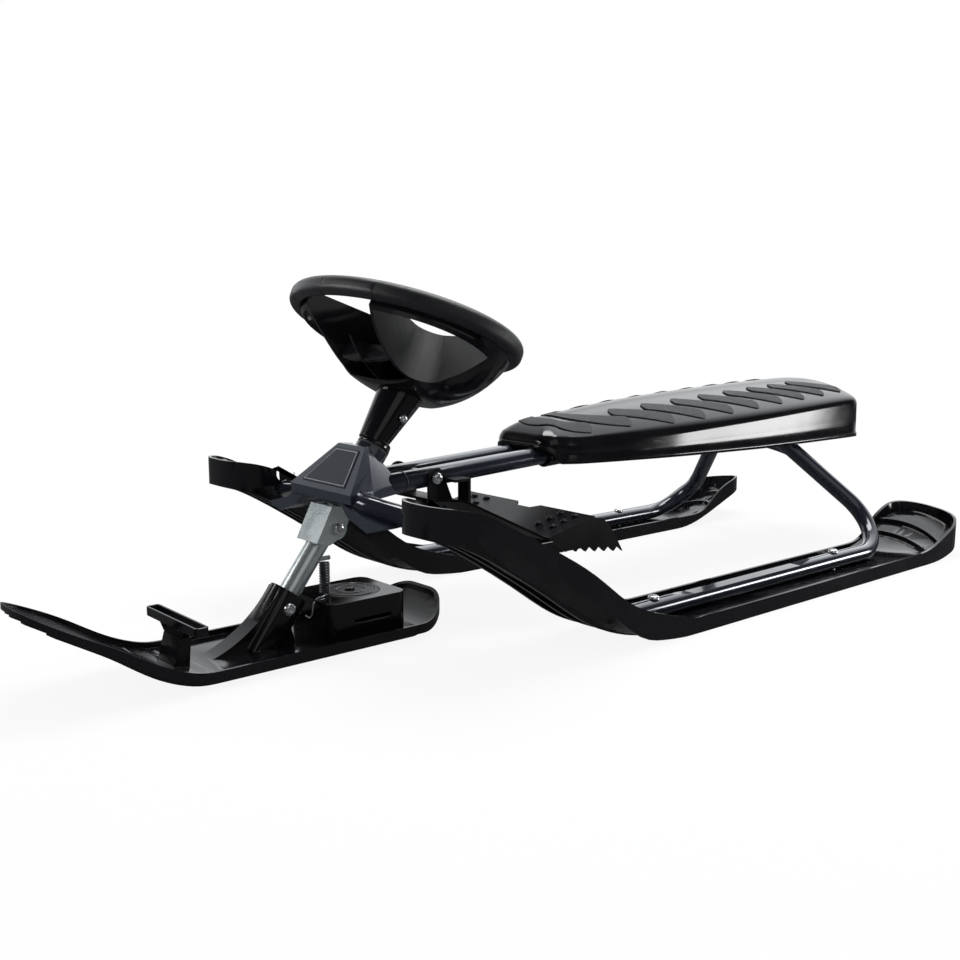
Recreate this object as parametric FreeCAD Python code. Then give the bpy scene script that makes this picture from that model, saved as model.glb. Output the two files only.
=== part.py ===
import FreeCAD, Part
import math
import os

V = FreeCAD.Vector
os.makedirs("parts", exist_ok=True)

# Frame of reference: +Z up from the ground, the sled's front towards -Y, its left side towards +X.

# Gap left where two pieces rest on each other, and fits
SEAT_GAP = 0.3
RUN_FIT = 0.05

# Frame tubes
TUBE_R = 10.5
TUBE_WALL = 1.6
RAIL_X = 20.0
RAIL_FRONT_Y = -290.0
RAIL_FRONT_Z = 155.0
RAIL_REAR_Y = 396.0
RAIL_REAR_Z = 188.0
HAIRPIN_R = 34.0
SHOULDER_Y = -232.0
SHOULDER_Z = 128.0
SHOULDER_R = 44.0
RISE_Y = -58.0
RISE_R = 150.0
RUNNER_X = 182.5
LEG_FOOT_Y = 508.0
LEG_TOP_R = 105.0
LEG_FOOT_R = 56.0
FLAT_DEPTH = 3.0
FLAT_FRONT_Y = 70.0
FLAT_REAR_Y = 270.0
PRESS_RAMP = 40.0

# Arched sheet between the rear legs
GUSSET_T = 2.5
GUSSET_LOW_X = 112.0
GUSSET_LOW_Z = 95.0
GUSSET_TOP_X = 38.0
GUSSET_TOP_Z = 168.0
GUSSET_ARCH_Z = 142.0

# Side skis: each profile line is a front curve, a level run and a rear curve of (Y, Z) points
SKI_W = 100.0
SKI_WALL = 3.5
SKI_FLOOR = 4.0
SKI_TIP_Y = -309.0
SKI_REAR_Y = 603.0
SKI_TIP_ROUND = 44.0
SKI_REAR_ROUND = 46.0
SKI_FLOOR_Z = 4.5
RUNNER_Z = SKI_FLOOR_Z + SKI_FLOOR + SEAT_GAP + TUBE_R
SKI_TOP_FRONT = [(-340, 172), (-309, 171), (-278, 166), (-237, 147), (-181, 117), (-127, 84), (-83, 52),
                 (-38, 33), (10, 20), (77, 17)]
SKI_TOP_IN = [(460, 17), (492, 22), (530, 48), (572, 63), (640, 66)]
SKI_TOP_OUT = [(470, 17), (505, 20), (548, 35), (580, 47), (640, 52)]
SKI_BOT_FRONT = [(-340, 148), (-309, 141), (-280, 132), (-246, 115), (-218, 98), (-166, 64), (-110, 28),
                 (-66, 11), (-36, 4.5), (-8, 1.2), (30, 0)]
SKI_BOT_IN = [(430, 0), (494, 12), (563, 38), (640, 62)]
SKI_BOT_OUT = [(500, 0), (540, 3), (580, 14), (640, 34)]
SKI_FLOOR_FRONT = [(-340, 166), (-306, 158), (-290, 152), (-262, 134), (-232, 110), (-181, 78), (-127, 44),
                   (-83, 18.5), (-60, 11.5), (-36, 8), (-8, 5.6), (30, SKI_FLOOR_Z)]
SKI_FLOOR_IN = [(430, SKI_FLOOR_Z), (494, 16.5), (563, 42), (640, 66)]
SKI_FLOOR_OUT = [(500, SKI_FLOOR_Z), (540, 7.5), (580, 18.5), (640, 38)]
SKI_KEEL_X = [-24.0, 0.0, 24.0]
SKI_KEEL_W = 5.0
SCOOP_RIB_T = 2.5
SCOOP_RIB_H = 6.0
SCOOP_RIB_Y = [528.0, 560.0]
SCOOP_RIB_R = 70.0

# Flat bed cut in a ski's floor where the runner starts
RUNNER_BED_HALF = 7.0
RUNNER_BED_L = 60.0

# Reach of the cutting forms beyond the pieces
SKI_PLAN_LOW = -60.0
SKI_PLAN_HIGH = 300.0
SKI_CLEAR = 60.0

# Bolts and screws
BOLT_R = 4.0
BOLT_HEAD_R = 6.5
BOLT_HEAD_H = 4.0
SKI_BOLT_Y = [352.0, 10.0]
SKI_NUT_Z = 1.0
SCREW_R = 2.5
SCREW_HEAD_R = 4.5
SCREW_HEAD_H = 2.5

# Steering axis: distances along it are measured from (AXIS_Y, AXIS_Z) upwards
AXIS_TILT = 37.5
AXIS_Y = -294.0
AXIS_Z = 104.5
COLUMN_R = 12.5
COLUMN_WALL = 2.0
COLUMN_LOW_S = 44.0
COLUMN_HIGH_S = 170.0
HEAD_TUBE_R = 17.5
HEAD_LOW_S = 56.0
HEAD_HIGH_S = 112.0
BUSH_WALL = 2.5
BUSH_H = 6.0
BUSH_FLANGE_R = 20.0
BUSH_FLANGE_H = 2.0
LEG_R = 11.0
LEG_WALL = 2.5
LEG_LOW_S = -92.0
LEG_HIGH_S = 40.0
PIVOT_S = -73.7
HOOK_R = 2.5
HOOK_FROM_Y = -298.0
HOOK_TO_Y = -281.0

# Clevis: outline of its cheeks as (Y, Z), front plate first
CLEVIS_HALF = 19.0
CLEVIS_T = 3.0
CLEVIS_BOLT_S = 19.0
CLEVIS_LOBE_R = 11.0
CLEVIS_SIDE = [(-289, 143), (-307, 108), (-292, 104), (-276, 112), (-262, 141)]
WEB_DEPTH = 20.0
WEB_GAP = 1.0

# Head hood: rings of (half width, Y) from the front edge to the rear edge
HOOD_T = 2.5
HOOD_FIT = 0.6
HOOD_LOW_Z = 149.0
HOOD_FOLD_Z = 159.0
HOOD_TOP_Z = 200.0
HOOD_LOW = [(52, -289), (46, -258), (26, -208)]
HOOD_FOLD = [(55, -291), (46, -258), (25, -210)]
HOOD_TOP = [(24, -251), (22, -246), (12, -238)]
LABEL_T = 1.0
LABEL_LOW = 0.12
LABEL_HIGH = 0.9
LABEL_WIDE = 0.74
SADDLE_IN_X = 34.0
SADDLE_OUT_X = 112.0
SADDLE_TOP_Z = 150.0
SADDLE_OUT_Z = 116.0
SADDLE_H = 14.0
SADDLE_FRONT_Y = -290.0
SADDLE_DEPTH = 30.0

# Front ski
FSKI_HALF = 62.0
FSKI_RIM = 10.0
FSKI_WALL = 3.0
FSKI_FLOOR = 4.0
FSKI_DECK_Z = 7.0
FSKI_TIP_Y = -603.0
FSKI_REAR_Y = -162.0
FSKI_TIP_ROUND = 58.0
FSKI_REAR_ROUND = 48.0
FSKI_BOT_FRONT = [(-640, 111), (-604, 89), (-566, 67), (-532, 47), (-506, 30), (-479, 16), (-455, 8.5),
                  (-425, FSKI_DECK_Z)]
FSKI_TOP_FRONT = [(-640, 116), (-604, 94.5), (-566, 74), (-532, 56), (-506, 40), (-479, 26), (-455, 18.5),
                  (-425, FSKI_DECK_Z + FSKI_RIM)]
FSKI_BOT_REAR = [(-208, FSKI_DECK_Z), (-192, 10), (-176, 19), (-160, 31), (-130, 54)]
FSKI_TOP_REAR = [(y, z + FSKI_RIM) for y, z in FSKI_BOT_REAR]
FSKI_KEEL_FRONT = [(-640, 109), (-604, 86.5), (-566, 63.5), (-532, 43), (-506, 25), (-479, 10), (-455, 2),
                   (-425, 0)]
FSKI_KEEL_REAR = [(-212, 0), (-194, 5), (-176, 17), (-160, 29.5), (-130, 52)]
FSKI_KEEL_X = [-44.0, -22.0, 0.0, 22.0, 44.0]
FSKI_KEEL_W = 5.0
SOCKET_FIT = 0.4
SOCKET_SLOT = 5.0
SOCKET_WALL = 4.5
SOCKET_LOW_S = -126.0
SOCKET_FLOOR = 26.0
SOCKET_HIGH_S = -58.0
RIDGE_HALF = 11.0
RIDGE = [(-345, 68), (-374, 36), (-424, 10), (-330, 10)]

# Rope winder
HOUSE_FRONT_Y = -306.0
HOUSE_REAR_Y = -212.0
HOUSE_HALF = 41.0
HOUSE_TOP_Z = 49.0
HOUSE_WALL = 3.0
HOUSE_ROOF = 5.0
HOUSE_ROUND = 12.0
VENT_L = 44.0
VENT_H = 4.0
VENT_Z = 26.0
LID_R = 30.0
LID_Y = -256.0
LID_T = 2.5
REEL_R = 26.0
REEL_DRUM_R = 18.0
REEL_FLANGE_T = 2.0
REEL_H = 14.0
REEL_LOW_Z = 15.0
REEL_AXLE_R = 5.0
AXLE_FOOT_R = 9.0
SPIRAL_WIRE_R = 0.8
SPIRAL_STEP = 2.6
SPIRAL_TURNS = 6

# Tow handle and its dock
HANDLE_Y = -450.0
HANDLE_HALF = 52.0
HANDLE_DEPTH = 14.0
HANDLE_H = 9.0
HANDLE_TOP_Z = 57.0
HANDLE_ROUND = 4.0
HANDLE_WALL = 2.5
HANDLE_NECK_TOP = 26.0
DOCK_TOP_Z = 39.7
DOCK_LEAN = 8.0
DOCK_HALF_D = 5.5
DOCK_HALF_W = 17.0
DOCK_ROOT = 1.0
TONGUE_HALF_W = 8.0
TONGUE_HALF_D = 2.5
TONGUE_L = 14.0

# Return spring behind the leg, and the brake's return spring
SPRING_WIRE_R = 1.1
SPRING_R = 4.5
SPRING_CURLS = 12
SPRING_PITCH = 2.75
SPRING_Y = -287.0
SPRING_LEAD = 2 * SPRING_WIRE_R
BRAKE_CURLS = 5
BRAKE_LEAD = 24.0

# Steering wheel: a frame of its own, V rearwards in the plane of the rim
WHEEL_Y = -184.0
WHEEL_Z = 318.0
WHEEL_TILT = 25.0
RIM_HALF_W = 141.0
RIM_HALF_D = 101.0
RIM_THICK = 16.0
RIM_TALL = 20.0
BOWL_RIM_DROP = 5.0
BOWL_MID_N = 42.0
BOWL_MID_HALF_W = 102.0
BOWL_MID_HALF_D = 71.0
BOWL_MID_V = 16.0
BOWL_DEPTH = 66.0
BOWL_LOW_HALF_W = 42.0
BOWL_LOW_HALF_D = 35.0
BOWL_LOW_V = 29.0
NECK_LOW_R = 15.5
NECK_HIGH_R = 25.0
NECK_LOW_S = 118.0
NECK_AHEAD = 4.0
NECK_HIGH_S = 182.0
OPEN_MARGIN = 12.0
CREST_N = 3.0
POCKET_FAR = 170.0
POCKET_AHEAD = -130.0
POCKET_ROWS = [(8.0, 84.0, (18.5, 2.0), (21.5, 21.0), (36.0, 28.0)),
               (-24.0, 72.0, (36.0, -12.0), (41.0, 9.0), (58.0, 17.0)),
               (-64.0, 62.0, (56.0, -32.0), (63.0, -6.0), (88.0, 4.0))]
HUB_WALL = 4.0
CORE_MARGIN = 14.0
CHANNEL_FRONT_V = -86.0
CHANNEL_REAR_V = -6.0
HUB_RIB_T = 3.0
HUB_RIB_V = [-66.0, -34.0]
HUB_RIB_TOP_N = -34.0
SCREW_S = 152.0
SCREW_HEAD_X = 22.0

# Seat: rows of (Y, half width, side height, crown height)
SEAT_RIM_FRONT_Z = 162.0
SEAT_RIM_REAR_Z = 151.0
SEAT_FRONT_Y = -26.0
SEAT_REAR_Y = 560.0
SEAT_WALL = 3.5
SEAT_LEAN = 2.0
SEAT_ROUND = 12.0
SEAT_SECTIONS = [(SEAT_FRONT_Y, 36.0, 181.0, 187.0), (-10.0, 46.0, 192.0, 201.0),
                 (40.0, 59.0, 201.0, 214.0), (180.0, 78.0, 213.0, 227.0), (330.0, 86.0, 220.0, 232.5),
                 (470.0, 88.0, 223.0, 233.5), (540.0, 87.0, 222.0, 230.0), (SEAT_REAR_Y, 85.0, 209.0, 218.0)]
SEAT_RIB_Y = [60.0, 300.0]
SEAT_RIB_HALF = 45.0
CLAMP_HALF = 34.0
CLAMP_W = 24.0
CLAMP_T = 3.0

# Grip pads on the seat
PAD_T = 1.5
PAD_GAP = 0.1
PAD_W = 21.0
PAD_LAST_W = 27.0
PAD_LEN = 66.0
PAD_SLANT = 57.0
PAD_OUT = 0.56
PAD_FIRST_Y = 134.0
PAD_PITCH = 51.0
PAD_COUNT = 8
PAD_ROUND = 8.0
ARCH_PADS = [(64.0, 42.0, 70.0, 50.0), (108.0, 52.0, 80.0, 104.0)]
ARCH_HALF = 9.0
PAD_LOW_Z = 188.0

# Foot brake
BRAKE_Y = -168.0
BRAKE_T = 3.0
BRAKE_LUG_X = RAIL_X + TUBE_R + 1.0
BRAKE_LUG_W = 22.0
BRAKE_LINE = [(-178.0, 140.0), (-140.0, 136.0), (-74.0, 95.0), (-2.0, 110.0)]
BRAKE_BEND_R = 10.0
BRAKE_PLAN = [(36.0, -178.0), (36.0, -152.0), (58.0, -130.0), (98.0, -84.0), (106.0, -72.0), (106.0, -2.0),
              (19.0, -2.0), (11.0, -12.0)]
CLAW_OUTLINE = [(-70.0, 94.0), (-2.0, 108.0), (9.0, 107.0), (20.0, 99.0), (30.0, 86.0), (44.0, 64.0)]
CLAW_X = 103.0
CLAW_TEETH = 6
CLAW_FRONT = (-46.0, 76.0)
CLAW_TOOTH = 5.0
DOME_R = 5.0
DOME_SINK = 1.5
DOME_X = [64.0, 86.0]
DOME_Y = [-47.0, -30.0, -13.0]
TAB_IN_X = 38.0
TAB_OUT_X = 56.0
TAB_Y = -142.0
TAB_TOP_Z = 161.0
TAB_CURL = 18.0


def bent_path(points, radii):
    """A wire of straight runs with a tangent arc of the given radius at each inner point."""
    edges = []
    start = points[0]
    for i, radius in enumerate(radii):
        corner = points[i + 1]
        back = (points[i] - corner).normalize()
        ahead = (points[i + 2] - corner).normalize()
        half = (math.pi - back.getAngle(ahead)) / 2
        run = radius * math.tan(half)
        top = corner + (back + ahead).normalize() * (radius / math.cos(half) - radius)
        edges.append(Part.makeLine(start, corner + back * run))
        edges.append(Part.Arc(corner + back * run, top, corner + ahead * run).toShape())
        start = corner + ahead * run
    edges.append(Part.makeLine(start, points[-1]))
    return Part.Wire(edges)


def round_bar(path, radius):
    """A solid round bar along a wire."""
    first = path.Edges[0]
    start = first.FirstParameter
    ring = Part.makeCircle(radius, first.valueAt(start), first.tangentAt(start))
    return path.makePipeShell([Part.Wire([ring])], True, False)


def bend_run(before, corner, after, radius):
    """The length of straight tube that a bend takes up on each side of its corner."""
    half = (math.pi - (before - corner).getAngle(after - corner)) / 2
    return radius * math.tan(half)


def smooth_edge(points, x, start_flat, end_flat):
    """A smooth edge through (Y, Z) points in the plane X = x, level where it meets a straight run."""
    places = [V(x, y, z) for y, z in points]
    first = V(0, 1, 0) if start_flat else places[1] - places[0]
    last = V(0, 1, 0) if end_flat else places[-1] - places[-2]
    curve = Part.BSplineCurve()
    curve.interpolate(Points=places, InitialTangent=first, FinalTangent=last)
    return curve.toShape()


def profile_edges(front, rear, x, lift=0.0):
    """The front curve, the level run and the rear curve of a ski's profile line, raised by lift."""
    front = [(y, z + lift) for y, z in front]
    rear = [(y, z + lift) for y, z in rear]
    run = Part.makeLine(V(x, *front[-1]), V(x, *rear[0]))
    return [smooth_edge(front, x, False, True), run, smooth_edge(rear, x, True, False)]


def ski_band(low, high, x_half, low_lift=0.0, high_lift=0.0):
    """A solid between two profile lines, ruled from the inner plane of a ski to its outer one."""
    wires = []
    for side, x in ((0, -x_half), (1, x_half)):
        bottom = profile_edges(low[0], low[1 + side], x, low_lift)
        top = profile_edges(high[0], high[1 + side], x, high_lift)
        (low_y, low_z), (high_y, high_z) = low[1 + side][-1], high[1 + side][-1]
        rear = Part.makeLine(V(x, low_y, low_z + low_lift), V(x, high_y, high_z + high_lift))
        (low_y, low_z), (high_y, high_z) = low[0][0], high[0][0]
        front = Part.makeLine(V(x, high_y, high_z + high_lift), V(x, low_y, low_z + low_lift))
        wires.append(Part.Wire(bottom + [rear] + top[::-1] + [front]))
    return Part.makeLoft(wires, True, True)


def rounded_prism(half, y_front, y_rear, r_front, r_rear, z_low, z_high):
    """An upright prism on a rectangle whose corners are rounded in plan."""
    corner = math.sqrt(0.5)
    f, r = r_front, r_rear
    edges = [
        Part.makeLine(V(-half + f, y_front, z_low), V(half - f, y_front, z_low)),
        Part.Arc(V(half - f, y_front, z_low), V(half - f + f * corner, y_front + f - f * corner, z_low),
                 V(half, y_front + f, z_low)).toShape(),
        Part.makeLine(V(half, y_front + f, z_low), V(half, y_rear - r, z_low)),
        Part.Arc(V(half, y_rear - r, z_low), V(half - r + r * corner, y_rear - r + r * corner, z_low),
                 V(half - r, y_rear, z_low)).toShape(),
        Part.makeLine(V(half - r, y_rear, z_low), V(-half + r, y_rear, z_low)),
        Part.Arc(V(-half + r, y_rear, z_low), V(-half + r - r * corner, y_rear - r + r * corner, z_low),
                 V(-half, y_rear - r, z_low)).toShape(),
        Part.makeLine(V(-half, y_rear - r, z_low), V(-half, y_front + f, z_low)),
        Part.Arc(V(-half, y_front + f, z_low), V(-half + f - f * corner, y_front + f - f * corner, z_low),
                 V(-half + f, y_front, z_low)).toShape(),
    ]
    return Part.Face(Part.Wire(edges)).extrude(V(0, 0, z_high - z_low))


def box(x0, x1, y0, y1, z0, z1):
    """A box from its two corners."""
    return Part.makeBox(x1 - x0, y1 - y0, z1 - z0, V(x0, y0, z0))


def side_plate(points, x0, x1):
    """A prism on a polygon of (Y, Z) points, from X = x0 to X = x1."""
    wire = Part.makePolygon([V(x0, y, z) for y, z in points + points[:1]])
    return Part.Face(wire).extrude(V(x1 - x0, 0, 0))


def rod_x(y, z, radius, x0, x1):
    """A round rod along X."""
    return Part.makeCylinder(radius, x1 - x0, V(x0, y, z), V(1, 0, 0))


def mirrored(shape):
    """The same piece on the sled's other side."""
    return shape.mirror(V(0, 0, 0), V(1, 0, 0))


def export(name, shape, merge_faces=True):
    """Writes one node, after merging the faces that joining leaves split."""
    clean = shape.removeSplitter() if merge_faces else shape
    solids = clean.Solids
    if len(solids) == 1:
        clean = solids[0]
    clean.exportStep("parts/" + name + ".step")
    print(name, "solids", len(solids), "valid", clean.isValid(), "volume", round(clean.Volume))


# Steering axis directions: along it upwards, and square to it towards the front
TILT = math.radians(AXIS_TILT)
ALONG = V(0, math.sin(TILT), math.cos(TILT))
AHEAD = V(0, -math.cos(TILT), math.sin(TILT))


def on_axis(s, x=0.0, ahead=0.0):
    """A point at distance s up the steering axis, moved sideways and ahead of it."""
    return V(x, AXIS_Y, AXIS_Z) + ALONG * s + AHEAD * ahead


def axis_rod(radius, s0, s1):
    """A round rod on the steering axis."""
    return Part.makeCylinder(radius, s1 - s0, on_axis(s0), ALONG)


# Frame tubes of the left side
hairpin = V(RAIL_X, RAIL_FRONT_Y, RAIL_FRONT_Z)
shoulder = V(RUNNER_X, SHOULDER_Y, SHOULDER_Z)
rise = V(RUNNER_X, RISE_Y, RUNNER_Z)
foot = V(RUNNER_X, LEG_FOOT_Y, RUNNER_Z)
leg_top = V(RAIL_X, RAIL_REAR_Y, RAIL_REAR_Z)
rail_way = (leg_top - hairpin).normalize()
rail_start = hairpin + rail_way * (bend_run(leg_top, hairpin, shoulder, HAIRPIN_R) + TUBE_R / 2)
rail_end = leg_top - rail_way * (bend_run(hairpin, leg_top, foot, LEG_TOP_R) + TUBE_R / 2)
runner_start = rise + V(0, bend_run(shoulder, rise, foot, RISE_R) + TUBE_R / 2, 0)
runner_end = foot - V(0, bend_run(leg_top, foot, rise, LEG_FOOT_R) + TUBE_R / 2, 0)
rail_path = Part.Wire([Part.makeLine(rail_start, rail_end)])
front_path = bent_path([rail_start, hairpin, shoulder, rise, runner_start], [HAIRPIN_R, SHOULDER_R, RISE_R])
rear_path = bent_path([rail_end, leg_top, foot, runner_end], [LEG_TOP_R, LEG_FOOT_R])
runner_path = Part.Wire([Part.makeLine(runner_start, runner_end)])


def rail_z(y):
    """Height of the rail's centre line at a place along the sled."""
    return RAIL_FRONT_Z + (y - RAIL_FRONT_Y) * (RAIL_REAR_Z - RAIL_FRONT_Z) / (RAIL_REAR_Y - RAIL_FRONT_Y)


def tube(path):
    """A frame tube with its wall."""
    return round_bar(path, TUBE_R).cut(round_bar(path, TUBE_R - TUBE_WALL))


def pressed_flat(depth):
    """The wedge-ended block that the press takes off the top of a runner tube."""
    top = RUNNER_Z + TUBE_R
    low = top - depth
    ramp = PRESS_RAMP
    return side_plate([(FLAT_FRONT_Y - ramp, top + 1), (FLAT_FRONT_Y, low), (FLAT_REAR_Y, low),
                       (FLAT_REAR_Y + ramp, top + 1)], RUNNER_X - SKI_W / 2, RUNNER_X + SKI_W / 2)


brake_z = rail_z(BRAKE_Y)
brake_bolt_hole = rod_x(BRAKE_Y, brake_z, BOLT_R, 0, BRAKE_LUG_X)
head_post = axis_rod(HEAD_TUBE_R, HEAD_LOW_S, HEAD_HIGH_S)
rail = tube(rail_path).cut(head_post).cut(brake_bolt_hole)
bush_room = axis_rod(BUSH_FLANGE_R + SEAT_GAP, HEAD_LOW_S - BUSH_FLANGE_H - SEAT_GAP, HEAD_LOW_S)
front_leg = tube(front_path).cut(head_post).cut(bush_room)
rear_leg = tube(rear_path)
bolt_holes = [Part.makeCylinder(BOLT_R, SKI_W, V(RUNNER_X, y, -SKI_W / 2)) for y in SKI_BOLT_Y]
runner = round_bar(runner_path, TUBE_R).cut(pressed_flat(FLAT_DEPTH))
runner = runner.cut(round_bar(runner_path, TUBE_R - TUBE_WALL).cut(pressed_flat(FLAT_DEPTH + TUBE_WALL)))
for hole in bolt_holes:
    runner = runner.cut(hole)
for name, piece in (("rail", rail), ("front_leg", front_leg), ("rear_leg", rear_leg), ("runner", runner)):
    export(name + "_left", piece)
    export(name + "_right", mirrored(piece))

# Arched sheet between the rear legs
leg_line = (foot - leg_top).normalize()


def on_legs(x, z):
    """A point in the slanted plane of the two rear legs."""
    return V(x, leg_top.y + (z - leg_top.z) * leg_line.y / leg_line.z, z)


arch_half = GUSSET_LOW_X
arch = [on_legs(-arch_half, GUSSET_LOW_Z), on_legs(-GUSSET_TOP_X, GUSSET_TOP_Z),
        on_legs(GUSSET_TOP_X, GUSSET_TOP_Z), on_legs(arch_half, GUSSET_LOW_Z)]
arch_edges = [Part.makeLine(a, b) for a, b in zip(arch, arch[1:])]
arch_edges.append(Part.Arc(arch[-1], on_legs(0, GUSSET_ARCH_Z), arch[0]).toShape())
sheet_normal = V(1, 0, 0).cross(leg_line).normalize()
gusset = Part.Face(Part.Wire(arch_edges))
gusset.translate(sheet_normal * (-GUSSET_T / 2))
gusset = gusset.extrude(sheet_normal * GUSSET_T)
gusset = gusset.cut(round_bar(rear_path, TUBE_R)).cut(mirrored(round_bar(rear_path, TUBE_R)))
gusset = max(gusset.Solids, key=lambda solid: solid.Volume)
export("rear_gusset", gusset)

# Side skis
wall_top = (SKI_TOP_FRONT, SKI_TOP_IN, SKI_TOP_OUT)
wall_low = (SKI_BOT_FRONT, SKI_BOT_IN, SKI_BOT_OUT)
floor = (SKI_FLOOR_FRONT, SKI_FLOOR_IN, SKI_FLOOR_OUT)
half = SKI_W / 2
inner_half = half - SKI_WALL
plan = rounded_prism(half, SKI_TIP_Y, SKI_REAR_Y, SKI_TIP_ROUND, SKI_REAR_ROUND,
                     SKI_PLAN_LOW, SKI_PLAN_HIGH)
inner_plan = rounded_prism(inner_half, SKI_TIP_Y + SKI_WALL, SKI_REAR_Y - SKI_WALL,
                           SKI_TIP_ROUND - SKI_WALL, SKI_REAR_ROUND - SKI_WALL, SKI_PLAN_LOW, SKI_PLAN_HIGH)
ski = ski_band(wall_low, wall_top, half).common(plan)
trough = ski_band(floor, wall_top, half, SKI_FLOOR, SKI_CLEAR).common(inner_plan)
hollow = ski_band(wall_low, floor, half, -SKI_CLEAR, 0.0).common(inner_plan)
keels = ski_band(wall_low, floor, half, 0.0, SKI_FLOOR / 2)
scoop = ski_band(floor, floor, half, SKI_FLOOR / 2, SKI_FLOOR + SCOOP_RIB_H).common(inner_plan)
ski = ski.cut(trough).cut(hollow)
for x in SKI_KEEL_X:
    strip = box(x - SKI_KEEL_W / 2, x + SKI_KEEL_W / 2, SKI_TIP_Y, SKI_REAR_Y, SKI_PLAN_LOW, SKI_PLAN_HIGH)
    ski = ski.fuse(keels.common(strip).common(inner_plan))
for y in SCOOP_RIB_Y:
    ring = Part.makeCylinder(SCOOP_RIB_R, SKI_PLAN_HIGH, V(0, y - SCOOP_RIB_R, 0))
    ring = ring.cut(Part.makeCylinder(SCOOP_RIB_R - SCOOP_RIB_T, SKI_PLAN_HIGH, V(0, y - SCOOP_RIB_R, 0)))
    ring = ring.common(box(-half, half, y - SCOOP_RIB_T - half / 2, SKI_REAR_Y, 0, SKI_PLAN_HIGH))
    ski = ski.fuse(scoop.common(ring))
ski.translate(V(RUNNER_X, 0, 0))
for path in (front_path, rear_path):
    ski = ski.cut(round_bar(path, TUBE_R + SEAT_GAP))
bed_z = runner_start.z - TUBE_R - SEAT_GAP
ski = ski.cut(box(RUNNER_X - RUNNER_BED_HALF, RUNNER_X + RUNNER_BED_HALF, runner_start.y - RUNNER_BED_HALF,
                  runner_start.y + RUNNER_BED_L, bed_z, runner_start.z))
for hole in bolt_holes:
    ski = ski.cut(hole)
ski = max(ski.Solids, key=lambda solid: solid.Volume)
export("ski_left", ski, merge_faces=False)
export("ski_right", mirrored(ski), merge_faces=False)

# Ski bolts: a round head on the tube and a shank through the ski's floor
for y, place in zip(SKI_BOLT_Y, ("rear", "front")):
    top = RUNNER_Z + TUBE_R
    bolt = Part.makeCylinder(BOLT_R, top - SKI_NUT_Z, V(RUNNER_X, y, SKI_NUT_Z))
    bolt = bolt.fuse(Part.makeCylinder(BOLT_HEAD_R, BOLT_HEAD_H, V(RUNNER_X, y, top)))
    export("ski_bolt_" + place + "_left", bolt)
    export("ski_bolt_" + place + "_right", mirrored(bolt))

# Steering head: sleeve, two bushes, hood, label plate and saddles
sleeve = head_post.cut(axis_rod(COLUMN_R + BUSH_WALL, HEAD_LOW_S, HEAD_HIGH_S))
export("head_tube", sleeve)
column_hole = axis_rod(COLUMN_R + RUN_FIT, HEAD_LOW_S - BUSH_H, HEAD_HIGH_S + BUSH_H)
low_bush = axis_rod(COLUMN_R + BUSH_WALL, HEAD_LOW_S, HEAD_LOW_S + 2 * BUSH_H)
low_bush = low_bush.fuse(axis_rod(BUSH_FLANGE_R, HEAD_LOW_S - BUSH_FLANGE_H, HEAD_LOW_S)).cut(column_hole)
high_bush = axis_rod(COLUMN_R + BUSH_WALL, HEAD_HIGH_S - 2 * BUSH_H, HEAD_HIGH_S)
high_bush = high_bush.fuse(axis_rod(BUSH_FLANGE_R, HEAD_HIGH_S, HEAD_HIGH_S + BUSH_FLANGE_H))
high_bush = high_bush.cut(column_hole)
export("head_bush_low", low_bush)
export("head_bush_high", high_bush)


def hood_ring(rows, z, inset):
    """One closed outline of the hood at a height, drawn in by inset."""
    shifts = [inset] + [0] * (len(rows) - 2) + [-inset]
    near = [(x - inset, y + shift) for (x, y), shift in zip(rows, shifts)]
    ring = [V(x, y, z) for x, y in near] + [V(-x, y, z) for x, y in near[::-1]]
    return Part.makePolygon(ring + ring[:1])


hood_rings = [(HOOD_LOW, HOOD_LOW_Z), (HOOD_FOLD, HOOD_FOLD_Z), (HOOD_TOP, HOOD_TOP_Z)]
hood = Part.makeLoft([hood_ring(rows, z, 0) for rows, z in hood_rings], True, True)
hood_in = Part.makeLoft([hood_ring(rows, z, HOOD_T) for rows, z in hood_rings], True, True)
hood_in.translate(V(0, 0, -HOOD_T))
hood = hood.cut(hood_in).cut(axis_rod(BUSH_FLANGE_R + HOOD_FIT, HEAD_LOW_S, HEAD_HIGH_S + 3 * BUSH_H))
for path in (front_path, rail_path):
    bar = round_bar(path, TUBE_R + SEAT_GAP)
    hood = hood.cut(bar).cut(mirrored(bar))
hood = max(hood.Solids, key=lambda solid: solid.Volume)
export("head_hood", hood)

(low_x, low_y), (top_x, top_y) = HOOD_FOLD[0], HOOD_TOP[0]
face_normal = V(0, -(HOOD_TOP_Z - HOOD_FOLD_Z), top_y - low_y).normalize()


def on_face(share, x_share):
    """A point on the hood's front face: a share of the way up, and of the half width."""
    x = (low_x + (top_x - low_x) * share) * x_share
    return V(x, low_y + (top_y - low_y) * share, HOOD_FOLD_Z + (HOOD_TOP_Z - HOOD_FOLD_Z) * share)


label = [on_face(LABEL_LOW, -LABEL_WIDE), on_face(LABEL_HIGH, -LABEL_WIDE), on_face(LABEL_HIGH, LABEL_WIDE),
         on_face(LABEL_LOW, LABEL_WIDE)]
label = Part.Face(Part.makePolygon(label + label[:1])).extrude(face_normal * LABEL_T)
export("head_label_plate", label)

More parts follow.
